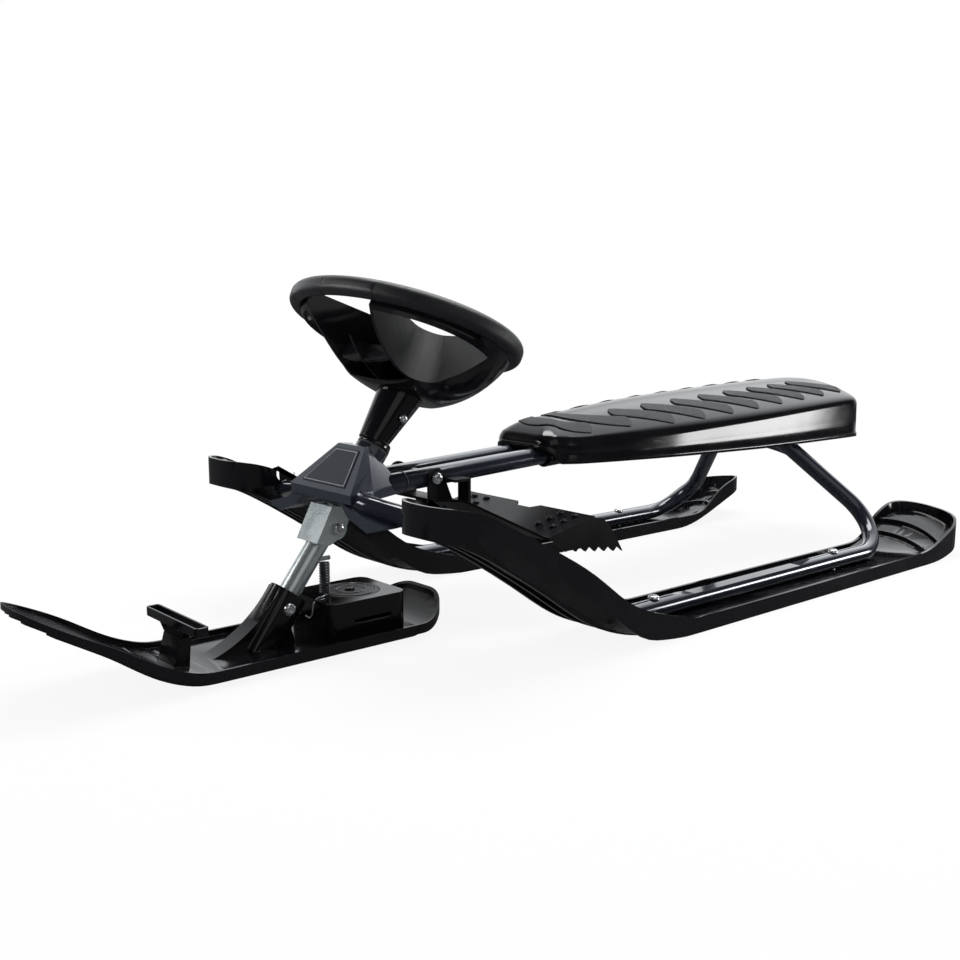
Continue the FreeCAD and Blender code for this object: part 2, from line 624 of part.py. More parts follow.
wing = [(SADDLE_IN_X, SADDLE_TOP_Z), (SADDLE_OUT_X, SADDLE_OUT_Z + SADDLE_H), (SADDLE_OUT_X, SADDLE_OUT_Z),
        (SADDLE_IN_X + SADDLE_H, SADDLE_TOP_Z - SADDLE_H)]
wing = Part.makePolygon([V(x, SADDLE_FRONT_Y, z) for x, z in wing + wing[:1]])
wing = Part.Face(wing).extrude(V(0, SADDLE_DEPTH, 0))
saddle = wing.cut(round_bar(front_path, TUBE_R))
saddle = max(saddle.Solids, key=lambda solid: solid.Volume)
export("head_saddle_left", saddle)
export("head_saddle_right", mirrored(saddle))

# Steering column, clevis and leg
column = axis_rod(COLUMN_R, COLUMN_LOW_S, COLUMN_HIGH_S)
column = column.cut(axis_rod(COLUMN_R - COLUMN_WALL, COLUMN_LOW_S, COLUMN_HIGH_S))
export("column", column)
clevis_bolt = on_axis(CLEVIS_BOLT_S)
pivot = on_axis(PIVOT_S)
cheek = side_plate(CLEVIS_SIDE, CLEVIS_HALF - CLEVIS_T, CLEVIS_HALF)
cheek = cheek.fuse(rod_x(clevis_bolt.y, clevis_bolt.z, CLEVIS_LOBE_R, CLEVIS_HALF - CLEVIS_T, CLEVIS_HALF))
front_plate = side_plate([CLEVIS_SIDE[0], CLEVIS_SIDE[1], (CLEVIS_SIDE[1][0] + CLEVIS_T, CLEVIS_SIDE[1][1]),
                          (CLEVIS_SIDE[0][0] + CLEVIS_T, CLEVIS_SIDE[0][1])], -CLEVIS_HALF, CLEVIS_HALF)
web = Part.makeBox(2 * CLEVIS_HALF, WEB_DEPTH, COLUMN_LOW_S - LEG_HIGH_S - WEB_GAP,
                   V(-CLEVIS_HALF, -WEB_DEPTH / 2, 0))
web.rotate(V(0, 0, 0), V(1, 0, 0), -AXIS_TILT)
web.translate(on_axis(LEG_HIGH_S + WEB_GAP))
clevis = cheek.fuse(mirrored(cheek)).fuse(front_plate).fuse(web)
clevis = clevis.cut(axis_rod(LEG_R + SOCKET_FIT, LEG_LOW_S, LEG_HIGH_S))
clevis = clevis.cut(rod_x(clevis_bolt.y, clevis_bolt.z, BOLT_R, -CLEVIS_HALF, CLEVIS_HALF))
clevis = max(clevis.Solids, key=lambda solid: solid.Volume)
export("clevis", clevis)
spring_low_z = HOUSE_TOP_Z + SEAT_GAP + SPRING_WIRE_R
hook_z = spring_low_z + SPRING_CURLS * SPRING_PITCH + SPRING_WIRE_R + SEAT_GAP + HOOK_R
leg = axis_rod(LEG_R, LEG_LOW_S, LEG_HIGH_S)
leg = leg.fuse(Part.makeCylinder(HOOK_R, HOOK_TO_Y - HOOK_FROM_Y, V(0, HOOK_FROM_Y, hook_z), V(0, 1, 0)))
leg = leg.cut(axis_rod(LEG_R - LEG_WALL, LEG_LOW_S, LEG_HIGH_S))
leg = leg.cut(rod_x(clevis_bolt.y, clevis_bolt.z, BOLT_R, -CLEVIS_HALF, CLEVIS_HALF))
leg = leg.cut(rod_x(pivot.y, pivot.z, BOLT_R + RUN_FIT, -CLEVIS_HALF, CLEVIS_HALF))
export("fork_leg", leg)


def cross_bolt(place, reach):
    """A bolt along X with a round head on each side of what it holds."""
    bolt = rod_x(place.y, place.z, BOLT_R, -reach, reach)
    for x0, x1 in ((-reach - BOLT_HEAD_H, -reach), (reach, reach + BOLT_HEAD_H)):
        bolt = bolt.fuse(rod_x(place.y, place.z, BOLT_HEAD_R, x0, x1))
    return bolt


export("clevis_bolt", cross_bolt(clevis_bolt, CLEVIS_HALF))

# Front ski: a rimmed tray on keels, with the leg's socket, its ridge and the handle's dock
tray_low = (FSKI_BOT_FRONT, FSKI_BOT_REAR, FSKI_BOT_REAR)
keel_low = (FSKI_KEEL_FRONT, FSKI_KEEL_REAR, FSKI_KEEL_REAR)
tray_plan = rounded_prism(FSKI_HALF, FSKI_TIP_Y, FSKI_REAR_Y, FSKI_TIP_ROUND, FSKI_REAR_ROUND,
                          SKI_PLAN_LOW, SKI_PLAN_HIGH)
tray_in = rounded_prism(FSKI_HALF - FSKI_WALL, FSKI_TIP_Y + FSKI_WALL, FSKI_REAR_Y - FSKI_WALL,
                        FSKI_TIP_ROUND - FSKI_WALL, FSKI_REAR_ROUND - FSKI_WALL, SKI_PLAN_LOW, SKI_PLAN_HIGH)
tray_top = (FSKI_TOP_FRONT, FSKI_TOP_REAR, FSKI_TOP_REAR)
tray = ski_band(tray_low, tray_top, FSKI_HALF).common(tray_plan)
tray = tray.cut(ski_band(tray_low, tray_low, FSKI_HALF, FSKI_FLOOR, SKI_CLEAR + FSKI_RIM).common(tray_in))
keel_band = ski_band(keel_low, tray_low, FSKI_HALF, 0.0, FSKI_FLOOR / 2).common(tray_in)
for x in FSKI_KEEL_X:
    strip = box(x - FSKI_KEEL_W / 2, x + FSKI_KEEL_W / 2, FSKI_TIP_Y, FSKI_REAR_Y,
                SKI_PLAN_LOW, SKI_PLAN_HIGH)
    tray = tray.fuse(keel_band.common(strip))
deck_z = FSKI_DECK_Z + FSKI_FLOOR


def axis_slot(half_x, half_ahead, s0, s1):
    """A slot-shaped prism on the steering axis, longer ahead and behind than to the sides."""
    reach = half_ahead - half_x
    prism = Part.makeBox(2 * half_x, 2 * reach, s1 - s0, V(-half_x, -reach, 0))
    for end in (-reach, reach):
        prism = prism.fuse(Part.makeCylinder(half_x, s1 - s0, V(0, end, 0)))
    prism.rotate(V(0, 0, 0), V(1, 0, 0), -AXIS_TILT)
    prism.translate(on_axis(s0))
    return prism


above_deck = box(-FSKI_HALF, FSKI_HALF, FSKI_TIP_Y, FSKI_REAR_Y, deck_z - FSKI_FLOOR / 2, SKI_PLAN_HIGH)
bore_half = LEG_R + SOCKET_FIT
socket_half = bore_half + SOCKET_WALL
socket = axis_slot(socket_half, socket_half + SOCKET_SLOT, SOCKET_LOW_S, SOCKET_HIGH_S)
ridge_points = [V(-RIDGE_HALF, y, z) for y, z in RIDGE]
ridge_edges = [Part.Arc(*ridge_points[:3]).toShape(),
               Part.makeLine(ridge_points[2], ridge_points[3]),
               Part.makeLine(ridge_points[3], ridge_points[0])]
ridge = Part.Face(Part.Wire(ridge_edges)).extrude(V(2 * RIDGE_HALF, 0, 0))
dock_low = HANDLE_Y - DOCK_LEAN
dock = side_plate([(dock_low - DOCK_HALF_D, deck_z - DOCK_ROOT), (HANDLE_Y - DOCK_HALF_D, DOCK_TOP_Z),
                   (HANDLE_Y + DOCK_HALF_D, DOCK_TOP_Z), (dock_low + 2 * DOCK_HALF_D, deck_z - DOCK_ROOT)],
                  -DOCK_HALF_W, DOCK_HALF_W)
dock_slot = box(-TONGUE_HALF_W - SEAT_GAP, TONGUE_HALF_W + SEAT_GAP, HANDLE_Y - TONGUE_HALF_D - SEAT_GAP,
                HANDLE_Y + TONGUE_HALF_D + SEAT_GAP, DOCK_TOP_Z - TONGUE_L - SEAT_GAP, DOCK_TOP_Z)
tray = tray.fuse(socket.fuse(ridge).common(above_deck)).fuse(dock.cut(dock_slot))
tray = tray.cut(axis_slot(bore_half, bore_half + SOCKET_SLOT, SOCKET_LOW_S + SOCKET_FLOOR,
                          SOCKET_HIGH_S + SOCKET_WALL))
tray = tray.cut(rod_x(pivot.y, pivot.z, BOLT_R, -FSKI_HALF, FSKI_HALF))
tray = tray.cut(Part.makeCylinder(REEL_AXLE_R, HOUSE_TOP_Z, V(0, LID_Y, deck_z)))
tray = max(tray.Solids, key=lambda solid: solid.Volume)
export("front_ski", tray)
export("pivot_bolt", cross_bolt(pivot, bore_half + SOCKET_WALL))

# Rope winder: housing, lid, axle, reel and its spiral spring
house = rounded_prism(HOUSE_HALF, HOUSE_FRONT_Y, HOUSE_REAR_Y, HOUSE_ROUND, HOUSE_ROUND,
                      deck_z, HOUSE_TOP_Z)
house_in = rounded_prism(HOUSE_HALF - HOUSE_WALL, HOUSE_FRONT_Y + HOUSE_WALL, HOUSE_REAR_Y - HOUSE_WALL,
                         HOUSE_ROUND - HOUSE_WALL, HOUSE_ROUND - HOUSE_WALL,
                         deck_z, HOUSE_TOP_Z - HOUSE_ROOF)
house = house.cut(house_in)
house = house.cut(Part.makeCylinder(LID_R + SEAT_GAP, LID_T, V(0, LID_Y, HOUSE_TOP_Z - LID_T)))
house = house.cut(Part.makeCylinder(LID_R - HOUSE_WALL, HOUSE_ROOF, V(0, LID_Y, HOUSE_TOP_Z - HOUSE_ROOF)))
house = house.cut(axis_slot(socket_half + SEAT_GAP, socket_half + SOCKET_SLOT + SEAT_GAP,
                            SOCKET_LOW_S, SOCKET_HIGH_S + 2 * SOCKET_WALL))
house = house.cut(box(HOUSE_HALF - HOUSE_WALL, HOUSE_HALF, LID_Y - VENT_L / 2, LID_Y + VENT_L / 2,
                      VENT_Z, VENT_Z + VENT_H))
house = max(house.Solids, key=lambda solid: solid.Volume)
export("winder_housing", house)
export("winder_lid", Part.makeCylinder(LID_R, LID_T, V(0, LID_Y, HOUSE_TOP_Z - LID_T)))
axle = Part.makeCylinder(REEL_AXLE_R, HOUSE_TOP_Z - LID_T - deck_z - SEAT_GAP, V(0, LID_Y, deck_z))
axle = axle.fuse(Part.makeCylinder(AXLE_FOOT_R, REEL_LOW_Z - deck_z - SEAT_GAP, V(0, LID_Y, deck_z)))
export("winder_axle", axle)
reel = Part.makeCylinder(REEL_R, REEL_FLANGE_T, V(0, LID_Y, REEL_LOW_Z))
reel = reel.fuse(Part.makeCylinder(REEL_DRUM_R, REEL_H, V(0, LID_Y, REEL_LOW_Z)))
reel = reel.fuse(Part.makeCylinder(REEL_R, REEL_FLANGE_T, V(0, LID_Y, REEL_LOW_Z + REEL_H - REEL_FLANGE_T)))
reel = reel.cut(Part.makeCylinder(REEL_AXLE_R + RUN_FIT, REEL_H, V(0, LID_Y, REEL_LOW_Z)))
export("winder_reel", reel)
spiral_z = REEL_LOW_Z + REEL_H + SPIRAL_WIRE_R + SEAT_GAP
spiral = []
for i in range(SPIRAL_TURNS * 8 + 1):
    angle = i * math.pi / 4
    radius = REEL_AXLE_R + SPIRAL_WIRE_R + SPIRAL_STEP * i / 8
    spiral.append(V(radius * math.cos(angle), LID_Y + radius * math.sin(angle), spiral_z))
spiral = [Part.Arc(*spiral[i:i + 3]).toShape() for i in range(0, SPIRAL_TURNS * 8, 2)]
export("winder_spring", round_bar(Part.Wire(spiral), SPIRAL_WIRE_R))
print("spiral spring: gap between turns", SPIRAL_STEP - 2 * SPIRAL_WIRE_R)

# Tow handle with its tongue in the dock
bar = rounded_prism(HANDLE_HALF, HANDLE_Y - HANDLE_DEPTH / 2, HANDLE_Y + HANDLE_DEPTH / 2,
                    HANDLE_ROUND, HANDLE_ROUND, HANDLE_TOP_Z - HANDLE_H, HANDLE_TOP_Z)
bar = bar.cut(rounded_prism(HANDLE_HALF - HANDLE_WALL, HANDLE_Y - HANDLE_DEPTH / 2 + HANDLE_WALL,
                            HANDLE_Y + HANDLE_DEPTH / 2 - HANDLE_WALL, HANDLE_ROUND / 2, HANDLE_ROUND / 2,
                            HANDLE_TOP_Z - HANDLE_H + HANDLE_WALL, HANDLE_TOP_Z))
neck_low = DOCK_TOP_Z + SEAT_GAP
neck = [(-HANDLE_NECK_TOP, HANDLE_TOP_Z - HANDLE_H), (HANDLE_NECK_TOP, HANDLE_TOP_Z - HANDLE_H),
        (DOCK_HALF_W, neck_low), (-DOCK_HALF_W, neck_low)]
neck = Part.makePolygon([V(x, HANDLE_Y - DOCK_HALF_D, z) for x, z in neck + neck[:1]])
neck = Part.Face(neck).extrude(V(0, 2 * DOCK_HALF_D, 0))
tongue = box(-TONGUE_HALF_W, TONGUE_HALF_W, HANDLE_Y - TONGUE_HALF_D, HANDLE_Y + TONGUE_HALF_D,
             neck_low - TONGUE_L, neck_low)
export("tow_handle", bar.fuse(neck).fuse(tongue))

# Coil spring behind the leg and the one round the brake's bolt
def coil(centre, radius, pitch, curls, wire_r, lead_in, lead_out):
    """One unbroken wire: arcs of a quarter turn up a vertical line, with straight leads."""
    steps = curls * 8
    places = []
    for i in range(steps + 1):
        angle = i * math.pi / 4
        places.append(V(centre.x + radius * math.cos(angle), centre.y + radius * math.sin(angle),
                        centre.z + pitch * i / 8))
    edges = [Part.Arc(places[i], places[i + 1], places[i + 2]).toShape() for i in range(0, steps, 2)]
    edges.insert(0, Part.makeLine(places[0] + lead_in, places[0]))
    edges.append(Part.makeLine(places[-1], places[-1] + lead_out))
    print("coil spring: gap between curls", round(pitch - 2 * wire_r, 2))
    return round_bar(Part.Wire(edges), wire_r)


spring = coil(V(0, SPRING_Y, spring_low_z), SPRING_R, SPRING_PITCH, SPRING_CURLS, SPRING_WIRE_R,
              V(0, -SPRING_LEAD, 0), V(0, SPRING_LEAD, 0))
export("ski_spring", spring)
brake_coil_r = BOLT_R + SPRING_WIRE_R + SEAT_GAP
brake_spring = coil(V(0, 0, -BRAKE_CURLS * SPRING_PITCH / 2), brake_coil_r, SPRING_PITCH, BRAKE_CURLS,
                    SPRING_WIRE_R, V(0, -BRAKE_LEAD, 0), V(0, BRAKE_LEAD, 0))
brake_spring.rotate(V(0, 0, 0), V(0, 1, 0), 90)
brake_spring.translate(V(0, BRAKE_Y, brake_z))
export("brake_spring", brake_spring)

# Steering wheel: oval rim, hollow ribbed hub with two finger pockets, neck on the column
def wheel_place(shape):
    """Moves a shape from the wheel's own frame (X, rearwards, up from its plane) to its place."""
    shape.rotate(V(0, 0, 0), V(1, 0, 0), -WHEEL_TILT)
    shape.translate(V(0, WHEEL_Y, WHEEL_Z))
    return shape


def oval(half_w, half_d, z, v=0.0):
    """An oval edge in a plane of the wheel's frame."""
    return Part.Ellipse(V(half_w, v, z), V(0, v + half_d, z), V(0, v, z)).toShape()


flat = RIM_TALL / 2 - RIM_THICK / 2
r = RIM_THICK / 2
rim_section = Part.Wire([
    Part.makeLine(V(RIM_HALF_W + r, 0, -flat), V(RIM_HALF_W + r, 0, flat)),
    Part.Arc(V(RIM_HALF_W + r, 0, flat), V(RIM_HALF_W, 0, flat + r), V(RIM_HALF_W - r, 0, flat)).toShape(),
    Part.makeLine(V(RIM_HALF_W - r, 0, flat), V(RIM_HALF_W - r, 0, -flat)),
    Part.Arc(V(RIM_HALF_W - r, 0, -flat), V(RIM_HALF_W, 0, -flat - r),
             V(RIM_HALF_W + r, 0, -flat)).toShape()])
rim = Part.Wire([oval(RIM_HALF_W, RIM_HALF_D, 0)]).makePipeShell([rim_section], True, False)
bowl_rows = [(RIM_HALF_W, RIM_HALF_D, -BOWL_RIM_DROP, 0.0),
             (BOWL_MID_HALF_W, BOWL_MID_HALF_D, -BOWL_MID_N, BOWL_MID_V),
             (BOWL_LOW_HALF_W, BOWL_LOW_HALF_D, -BOWL_DEPTH, BOWL_LOW_V)]
hub = Part.makeLoft([Part.Wire([oval(*row)]) for row in bowl_rows], True, False)
crest = Part.Face(Part.Wire([oval(RIM_HALF_W, RIM_HALF_D, -BOWL_RIM_DROP)]))
hub = hub.fuse(crest.extrude(V(0, 0, BOWL_RIM_DROP + CREST_N)))


def pocket_wire(n, ahead_x, inner, corner, rear, grow):
    """One level of a finger pocket, grown by grow: its inner side, rounded corner and rear side."""
    x = [ahead_x - grow, inner[0] - grow, corner[0] - grow, rear[0] - grow]
    points = [V(x[0], POCKET_AHEAD, n), V(x[1], inner[1] + grow / 2, n), V(x[3], rear[1] + grow, n),
              V(POCKET_FAR, rear[1] + grow, n), V(POCKET_FAR, POCKET_AHEAD, n)]
    bend = Part.Arc(points[1], V(x[2], corner[1] + grow, n), points[2]).toShape()
    return Part.Wire([Part.makeLine(points[0], points[1]), bend, Part.makeLine(points[2], points[3]),
                      Part.makeLine(points[3], points[4]), Part.makeLine(points[4], points[0])])


def pocket_pair(grow):
    """Both finger pockets, grown by grow, inside the rim."""
    one = Part.makeLoft([pocket_wire(*row, grow) for row in POCKET_ROWS], True, False)
    margin = OPEN_MARGIN - grow
    edge = Part.Face(Part.Wire([oval(RIM_HALF_W - margin, RIM_HALF_D - margin, -2 * BOWL_DEPTH)]))
    one = one.common(edge.extrude(V(0, 0, 3 * BOWL_DEPTH)))
    return one.fuse(mirrored(one))


pockets = pocket_pair(0.0)
core_rows = [(RIM_HALF_W - CORE_MARGIN, RIM_HALF_D - CORE_MARGIN, CREST_N - HUB_WALL, 0.0),
             (BOWL_MID_HALF_W - HUB_WALL, BOWL_MID_HALF_D - HUB_WALL, HUB_WALL / 2 - BOWL_MID_N,
              BOWL_MID_V),
             (BOWL_LOW_HALF_W - HUB_WALL, BOWL_LOW_HALF_D - HUB_WALL, HUB_WALL - BOWL_DEPTH, BOWL_LOW_V)]
core = Part.makeLoft([Part.Wire([oval(*row)]) for row in core_rows], True, False)
channel = box(-RIM_HALF_W, RIM_HALF_W, CHANNEL_FRONT_V, CHANNEL_REAR_V, -2 * BOWL_DEPTH, CREST_N + HUB_WALL)
ribs = box(-HUB_RIB_T / 2, HUB_RIB_T / 2, CHANNEL_FRONT_V - HUB_RIB_T, CHANNEL_REAR_V + HUB_RIB_T,
           -BOWL_DEPTH, HUB_RIB_TOP_N)
for v in HUB_RIB_V:
    ribs = ribs.fuse(box(-BOWL_MID_HALF_W, BOWL_MID_HALF_W, v, v + HUB_RIB_T, -BOWL_DEPTH, HUB_RIB_TOP_N))
ribs = ribs.common(core)
hub = hub.cut(core.fuse(channel).cut(pocket_pair(HUB_WALL))).fuse(ribs).cut(pockets).cut(rim)
wheel_place(rim)
wheel_place(hub)
neck = Part.makeCone(NECK_LOW_R, NECK_HIGH_R, NECK_HIGH_S - NECK_LOW_S,
                     on_axis(NECK_LOW_S, 0, NECK_AHEAD), ALONG)
hub = hub.fuse(neck).cut(axis_rod(COLUMN_R, NECK_LOW_S, COLUMN_HIGH_S))
screw_at = on_axis(SCREW_S)
hub = hub.cut(rod_x(screw_at.y, screw_at.z, SCREW_R, 0, NECK_HIGH_R))
hub = max(hub.Solids, key=lambda solid: solid.Volume)
export("wheel_rim", rim)
export("wheel_hub", hub, merge_faces=False)
screw = rod_x(screw_at.y, screw_at.z, SCREW_R, COLUMN_R, SCREW_HEAD_X)
screw_head = rod_x(screw_at.y, screw_at.z, SCREW_HEAD_R, SCREW_HEAD_X, SCREW_HEAD_X + SCREW_HEAD_H)
export("wheel_screw", screw.fuse(screw_head))

# Seat: crowned shell on cross ribs, with raised grip pads
def rim_z(y):
    """Height of the seat's lower rim at a place along the sled."""
    share = (y - SEAT_FRONT_Y) / (SEAT_REAR_Y - SEAT_FRONT_Y)
    return SEAT_RIM_FRONT_Z + (SEAT_RIM_REAR_Z - SEAT_RIM_FRONT_Z) * share


def seat_section(y, half_w, side_z, crown_z, grow, drop=0.0):
    """One closed outline across the seat, grown outwards by grow."""
    w = half_w + grow
    low = rim_z(y) - drop
    rise = crown_z - side_z
    half = [V(w, y, low), V(w - SEAT_LEAN, y, (low + side_z) / 2),
            V(w - 2 * SEAT_LEAN, y, side_z - SEAT_ROUND / 3),
            V(w - SEAT_ROUND, y, side_z + grow + rise / 4), V(w / 2, y, side_z + grow + rise * 3 / 4)]
    curve = Part.BSplineCurve()
    curve.interpolate([V(-p.x, p.y, p.z) for p in half] + [V(0, y, crown_z + grow)] + half[::-1])
    return Part.Wire([curve.toShape(), Part.makeLine(V(w, y, low), V(-w, y, low))])


def seat_body(grow, drop=0.0):
    """The seat's solid form, grown outwards by grow."""
    return Part.makeLoft([seat_section(*row, grow, drop) for row in SEAT_SECTIONS], True, False)


seat_form = seat_body(0.0)
seat_hollow = seat_body(-SEAT_WALL, SEAT_WALL)
seat_hollow = seat_hollow.common(box(-SKI_W, SKI_W, SEAT_FRONT_Y + SEAT_WALL, SEAT_REAR_Y - SEAT_WALL,
                                     0, SKI_PLAN_HIGH))
seat = seat_form.cut(seat_hollow)
rail_bars = round_bar(rail_path, TUBE_R + SEAT_GAP)
rail_bars = rail_bars.fuse(mirrored(rail_bars))
for y in SEAT_RIB_Y:
    rib = box(-SEAT_RIB_HALF, SEAT_RIB_HALF, y - SEAT_WALL / 2, y + SEAT_WALL / 2, rail_z(y), SKI_PLAN_HIGH)
    seat = seat.fuse(rib.common(seat_form))
leg_bars = round_bar(rear_path, TUBE_R + SEAT_GAP)
seat = seat.cut(rail_bars).cut(leg_bars).cut(mirrored(leg_bars))
seat = max(seat.Solids, key=lambda solid: solid.Volume)
export("seat_shell", seat, merge_faces=False)

skin = seat_body(PAD_T).cut(seat_body(PAD_GAP))


def seat_half(y):
    """The seat's half width at a place along the sled."""
    for (y0, w0, _, _), (y1, w1, _, _) in zip(SEAT_SECTIONS, SEAT_SECTIONS[1:]):
        if y <= y1:
            return w0 + (w1 - w0) * (y - y0) / (y1 - y0)
    return SEAT_SECTIONS[-1][1]


def pad(x, y, length, width, turn):
    """An upright prism with rounded corners, turned in plan, that marks out one grip pad."""
    prism = rounded_prism(length / 2, -width / 2, width / 2, PAD_ROUND, PAD_ROUND, 0, SKI_PLAN_HIGH)
    prism.rotate(V(0, 0, 0), V(0, 0, 1), turn)
    prism.translate(V(x, y, SEAT_RIM_REAR_Z))
    return prism


def arch_pad(centre_y, half_w, half_d, end_y):
    """An upright oval band, open to the rear, that marks out one of the two front pads."""
    outer = Part.Ellipse(V(0, half_d + ARCH_HALF, 0), V(half_w + ARCH_HALF, 0, 0), V(0, 0, 0)).toShape()
    inner = Part.Ellipse(V(0, half_d - ARCH_HALF, 0), V(half_w - ARCH_HALF, 0, 0), V(0, 0, 0)).toShape()
    band = Part.Face(Part.Wire([outer])).cut(Part.Face(Part.Wire([inner]))).extrude(V(0, 0, SKI_PLAN_HIGH))
    band.translate(V(0, centre_y, SEAT_RIM_REAR_Z))
    return band.common(box(-SKI_W, SKI_W, SEAT_FRONT_Y, end_y, 0, 2 * SKI_PLAN_HIGH))


marks = [arch_pad(*row) for row in ARCH_PADS]
pad_widths = [PAD_W] * (PAD_COUNT - 1) + [PAD_LAST_W]
for i, width in enumerate(pad_widths):
    y = PAD_FIRST_Y + PAD_PITCH * i
    x = PAD_OUT * seat_half(y)
    for side in (-1, 1):
        marks.append(pad(side * x, y, PAD_LEN, width, side * PAD_SLANT))
above = box(-SKI_W, SKI_W, SEAT_FRONT_Y, SEAT_REAR_Y, PAD_LOW_Z, SKI_PLAN_HIGH)
pads = [skin.common(mark).common(above) for mark in marks]
pads = Part.makeCompound([solid for piece in pads for solid in piece.Solids])
pads.exportStep("parts/seat_pads.step")
print("seat_pads solids", len(pads.Solids), "valid", pads.isValid())

# Seat clamps under the rails, each with its screw up into a rib
for y, place in zip(SEAT_RIB_Y, ("front", "rear")):
    low = rail_z(y) - TUBE_R - CLAMP_T
    clamp = box(-CLAMP_HALF, CLAMP_HALF, y - CLAMP_W / 2, y + CLAMP_W / 2, low, rail_z(y)).cut(rail_bars)
    clamp = clamp.cut(Part.makeCylinder(SCREW_R, 2 * TUBE_R + CLAMP_T, V(0, y, low)))
    clamp = max(clamp.Solids, key=lambda solid: solid.Volume)
    export("seat_clamp_" + place, clamp)
    screw = Part.makeCylinder(SCREW_R, rail_z(y) - low, V(0, y, low))
    screw = screw.fuse(Part.makeCylinder(SCREW_HEAD_R, SCREW_HEAD_H, V(0, y, low - SCREW_HEAD_H)))
    export("seat_screw_" + place, screw)

# Foot brake: one bent sheet with domes, toothed side claws and two lugs on the pivot bolt
def tread_z(y):
    """Height of the brake sheet's top at a place along the sled."""
    for (y0, z0), (y1, z1) in zip(BRAKE_LINE, BRAKE_LINE[1:]):
        if y <= y1:
            return z0 + (z1 - z0) * (y - y0) / (y1 - y0)
    return BRAKE_LINE[-1][1]


sheet = side_plate(BRAKE_LINE + [(y, z - BRAKE_T) for y, z in BRAKE_LINE[::-1]], -SKI_W * 2, SKI_W * 2)
bends = [edge for edge in sheet.Edges if abs(edge.tangentAt(edge.FirstParameter).x) > 0.9
         and any(abs(edge.CenterOfMass.y - y) < 0.01 for y, _ in BRAKE_LINE[1:-1])]
sheet = sheet.makeFillet(BRAKE_BEND_R, bends)
half_plan = [V(0, BRAKE_PLAN[0][1], 0)] + [V(x, y, 0) for x, y in BRAKE_PLAN] + [V(0, BRAKE_PLAN[-1][1], 0)]
half_prism = Part.Face(Part.makePolygon(half_plan + half_plan[:1])).extrude(V(0, 0, SKI_PLAN_HIGH))
brake = sheet.common(half_prism.fuse(mirrored(half_prism)))
teeth = []
tip = CLAW_OUTLINE[-1]
for i in range(1, CLAW_TEETH + 1):
    share = i / CLAW_TEETH
    y = tip[0] + (CLAW_FRONT[0] - tip[0]) * share
    z = tip[1] + (CLAW_FRONT[1] - tip[1]) * share
    teeth += [(y + (tip[0] - CLAW_FRONT[0]) / CLAW_TEETH * 0.4, z + CLAW_TOOTH), (y, z)]
claw = side_plate(CLAW_OUTLINE + teeth, CLAW_X, CLAW_X + BRAKE_T)
lug = side_plate([(BRAKE_Y - BRAKE_LUG_W / 2, brake_z), (BRAKE_Y + BRAKE_LUG_W / 2, brake_z),
                  (BRAKE_Y + BRAKE_LUG_W, tread_z(BRAKE_Y + BRAKE_LUG_W) - BRAKE_T / 2),
                  (BRAKE_LINE[0][0], BRAKE_LINE[0][1] - BRAKE_T / 2)], BRAKE_LUG_X, BRAKE_LUG_X + BRAKE_T)
lug = lug.fuse(rod_x(BRAKE_Y, brake_z, BRAKE_LUG_W / 2, BRAKE_LUG_X, BRAKE_LUG_X + BRAKE_T))
lug = lug.cut(rod_x(BRAKE_Y, brake_z, BOLT_R + RUN_FIT, BRAKE_LUG_X, BRAKE_LUG_X + BRAKE_T))
tab = box(TAB_IN_X, TAB_OUT_X, TAB_Y, TAB_Y + BRAKE_T, tread_z(TAB_Y) - BRAKE_T / 2, TAB_TOP_Z)
tab = tab.fuse(box(TAB_IN_X, TAB_OUT_X, TAB_Y - TAB_CURL, TAB_Y + BRAKE_T, TAB_TOP_Z - BRAKE_T, TAB_TOP_Z))
brake_sides = claw.fuse(lug).fuse(tab)
for y in DOME_Y:
    for x in DOME_X:
        base = tread_z(y) - DOME_SINK
        ball = Part.makeSphere(DOME_R, V(x, y, base))
        under = box(x - DOME_R, x + DOME_R, y - DOME_R, y + DOME_R, 0, base)
        brake_sides = brake_sides.fuse(ball.cut(under))
brake = brake.fuse(brake_sides).fuse(mirrored(brake_sides))
brake = max(brake.Solids, key=lambda solid: solid.Volume)
export("brake_plate", brake)
export("brake_bolt", cross_bolt(V(0, BRAKE_Y, brake_z), BRAKE_LUG_X + BRAKE_T + SEAT_GAP))
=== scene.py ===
"""Steering sled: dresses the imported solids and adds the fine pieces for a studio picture."""

import logging
import math
from dataclasses import dataclass, field
from enum import Enum
from typing import Any, Iterable, Sequence

import bmesh
import bpy
from mathutils import Matrix, Vector
from mathutils.bvhtree import BVHTree


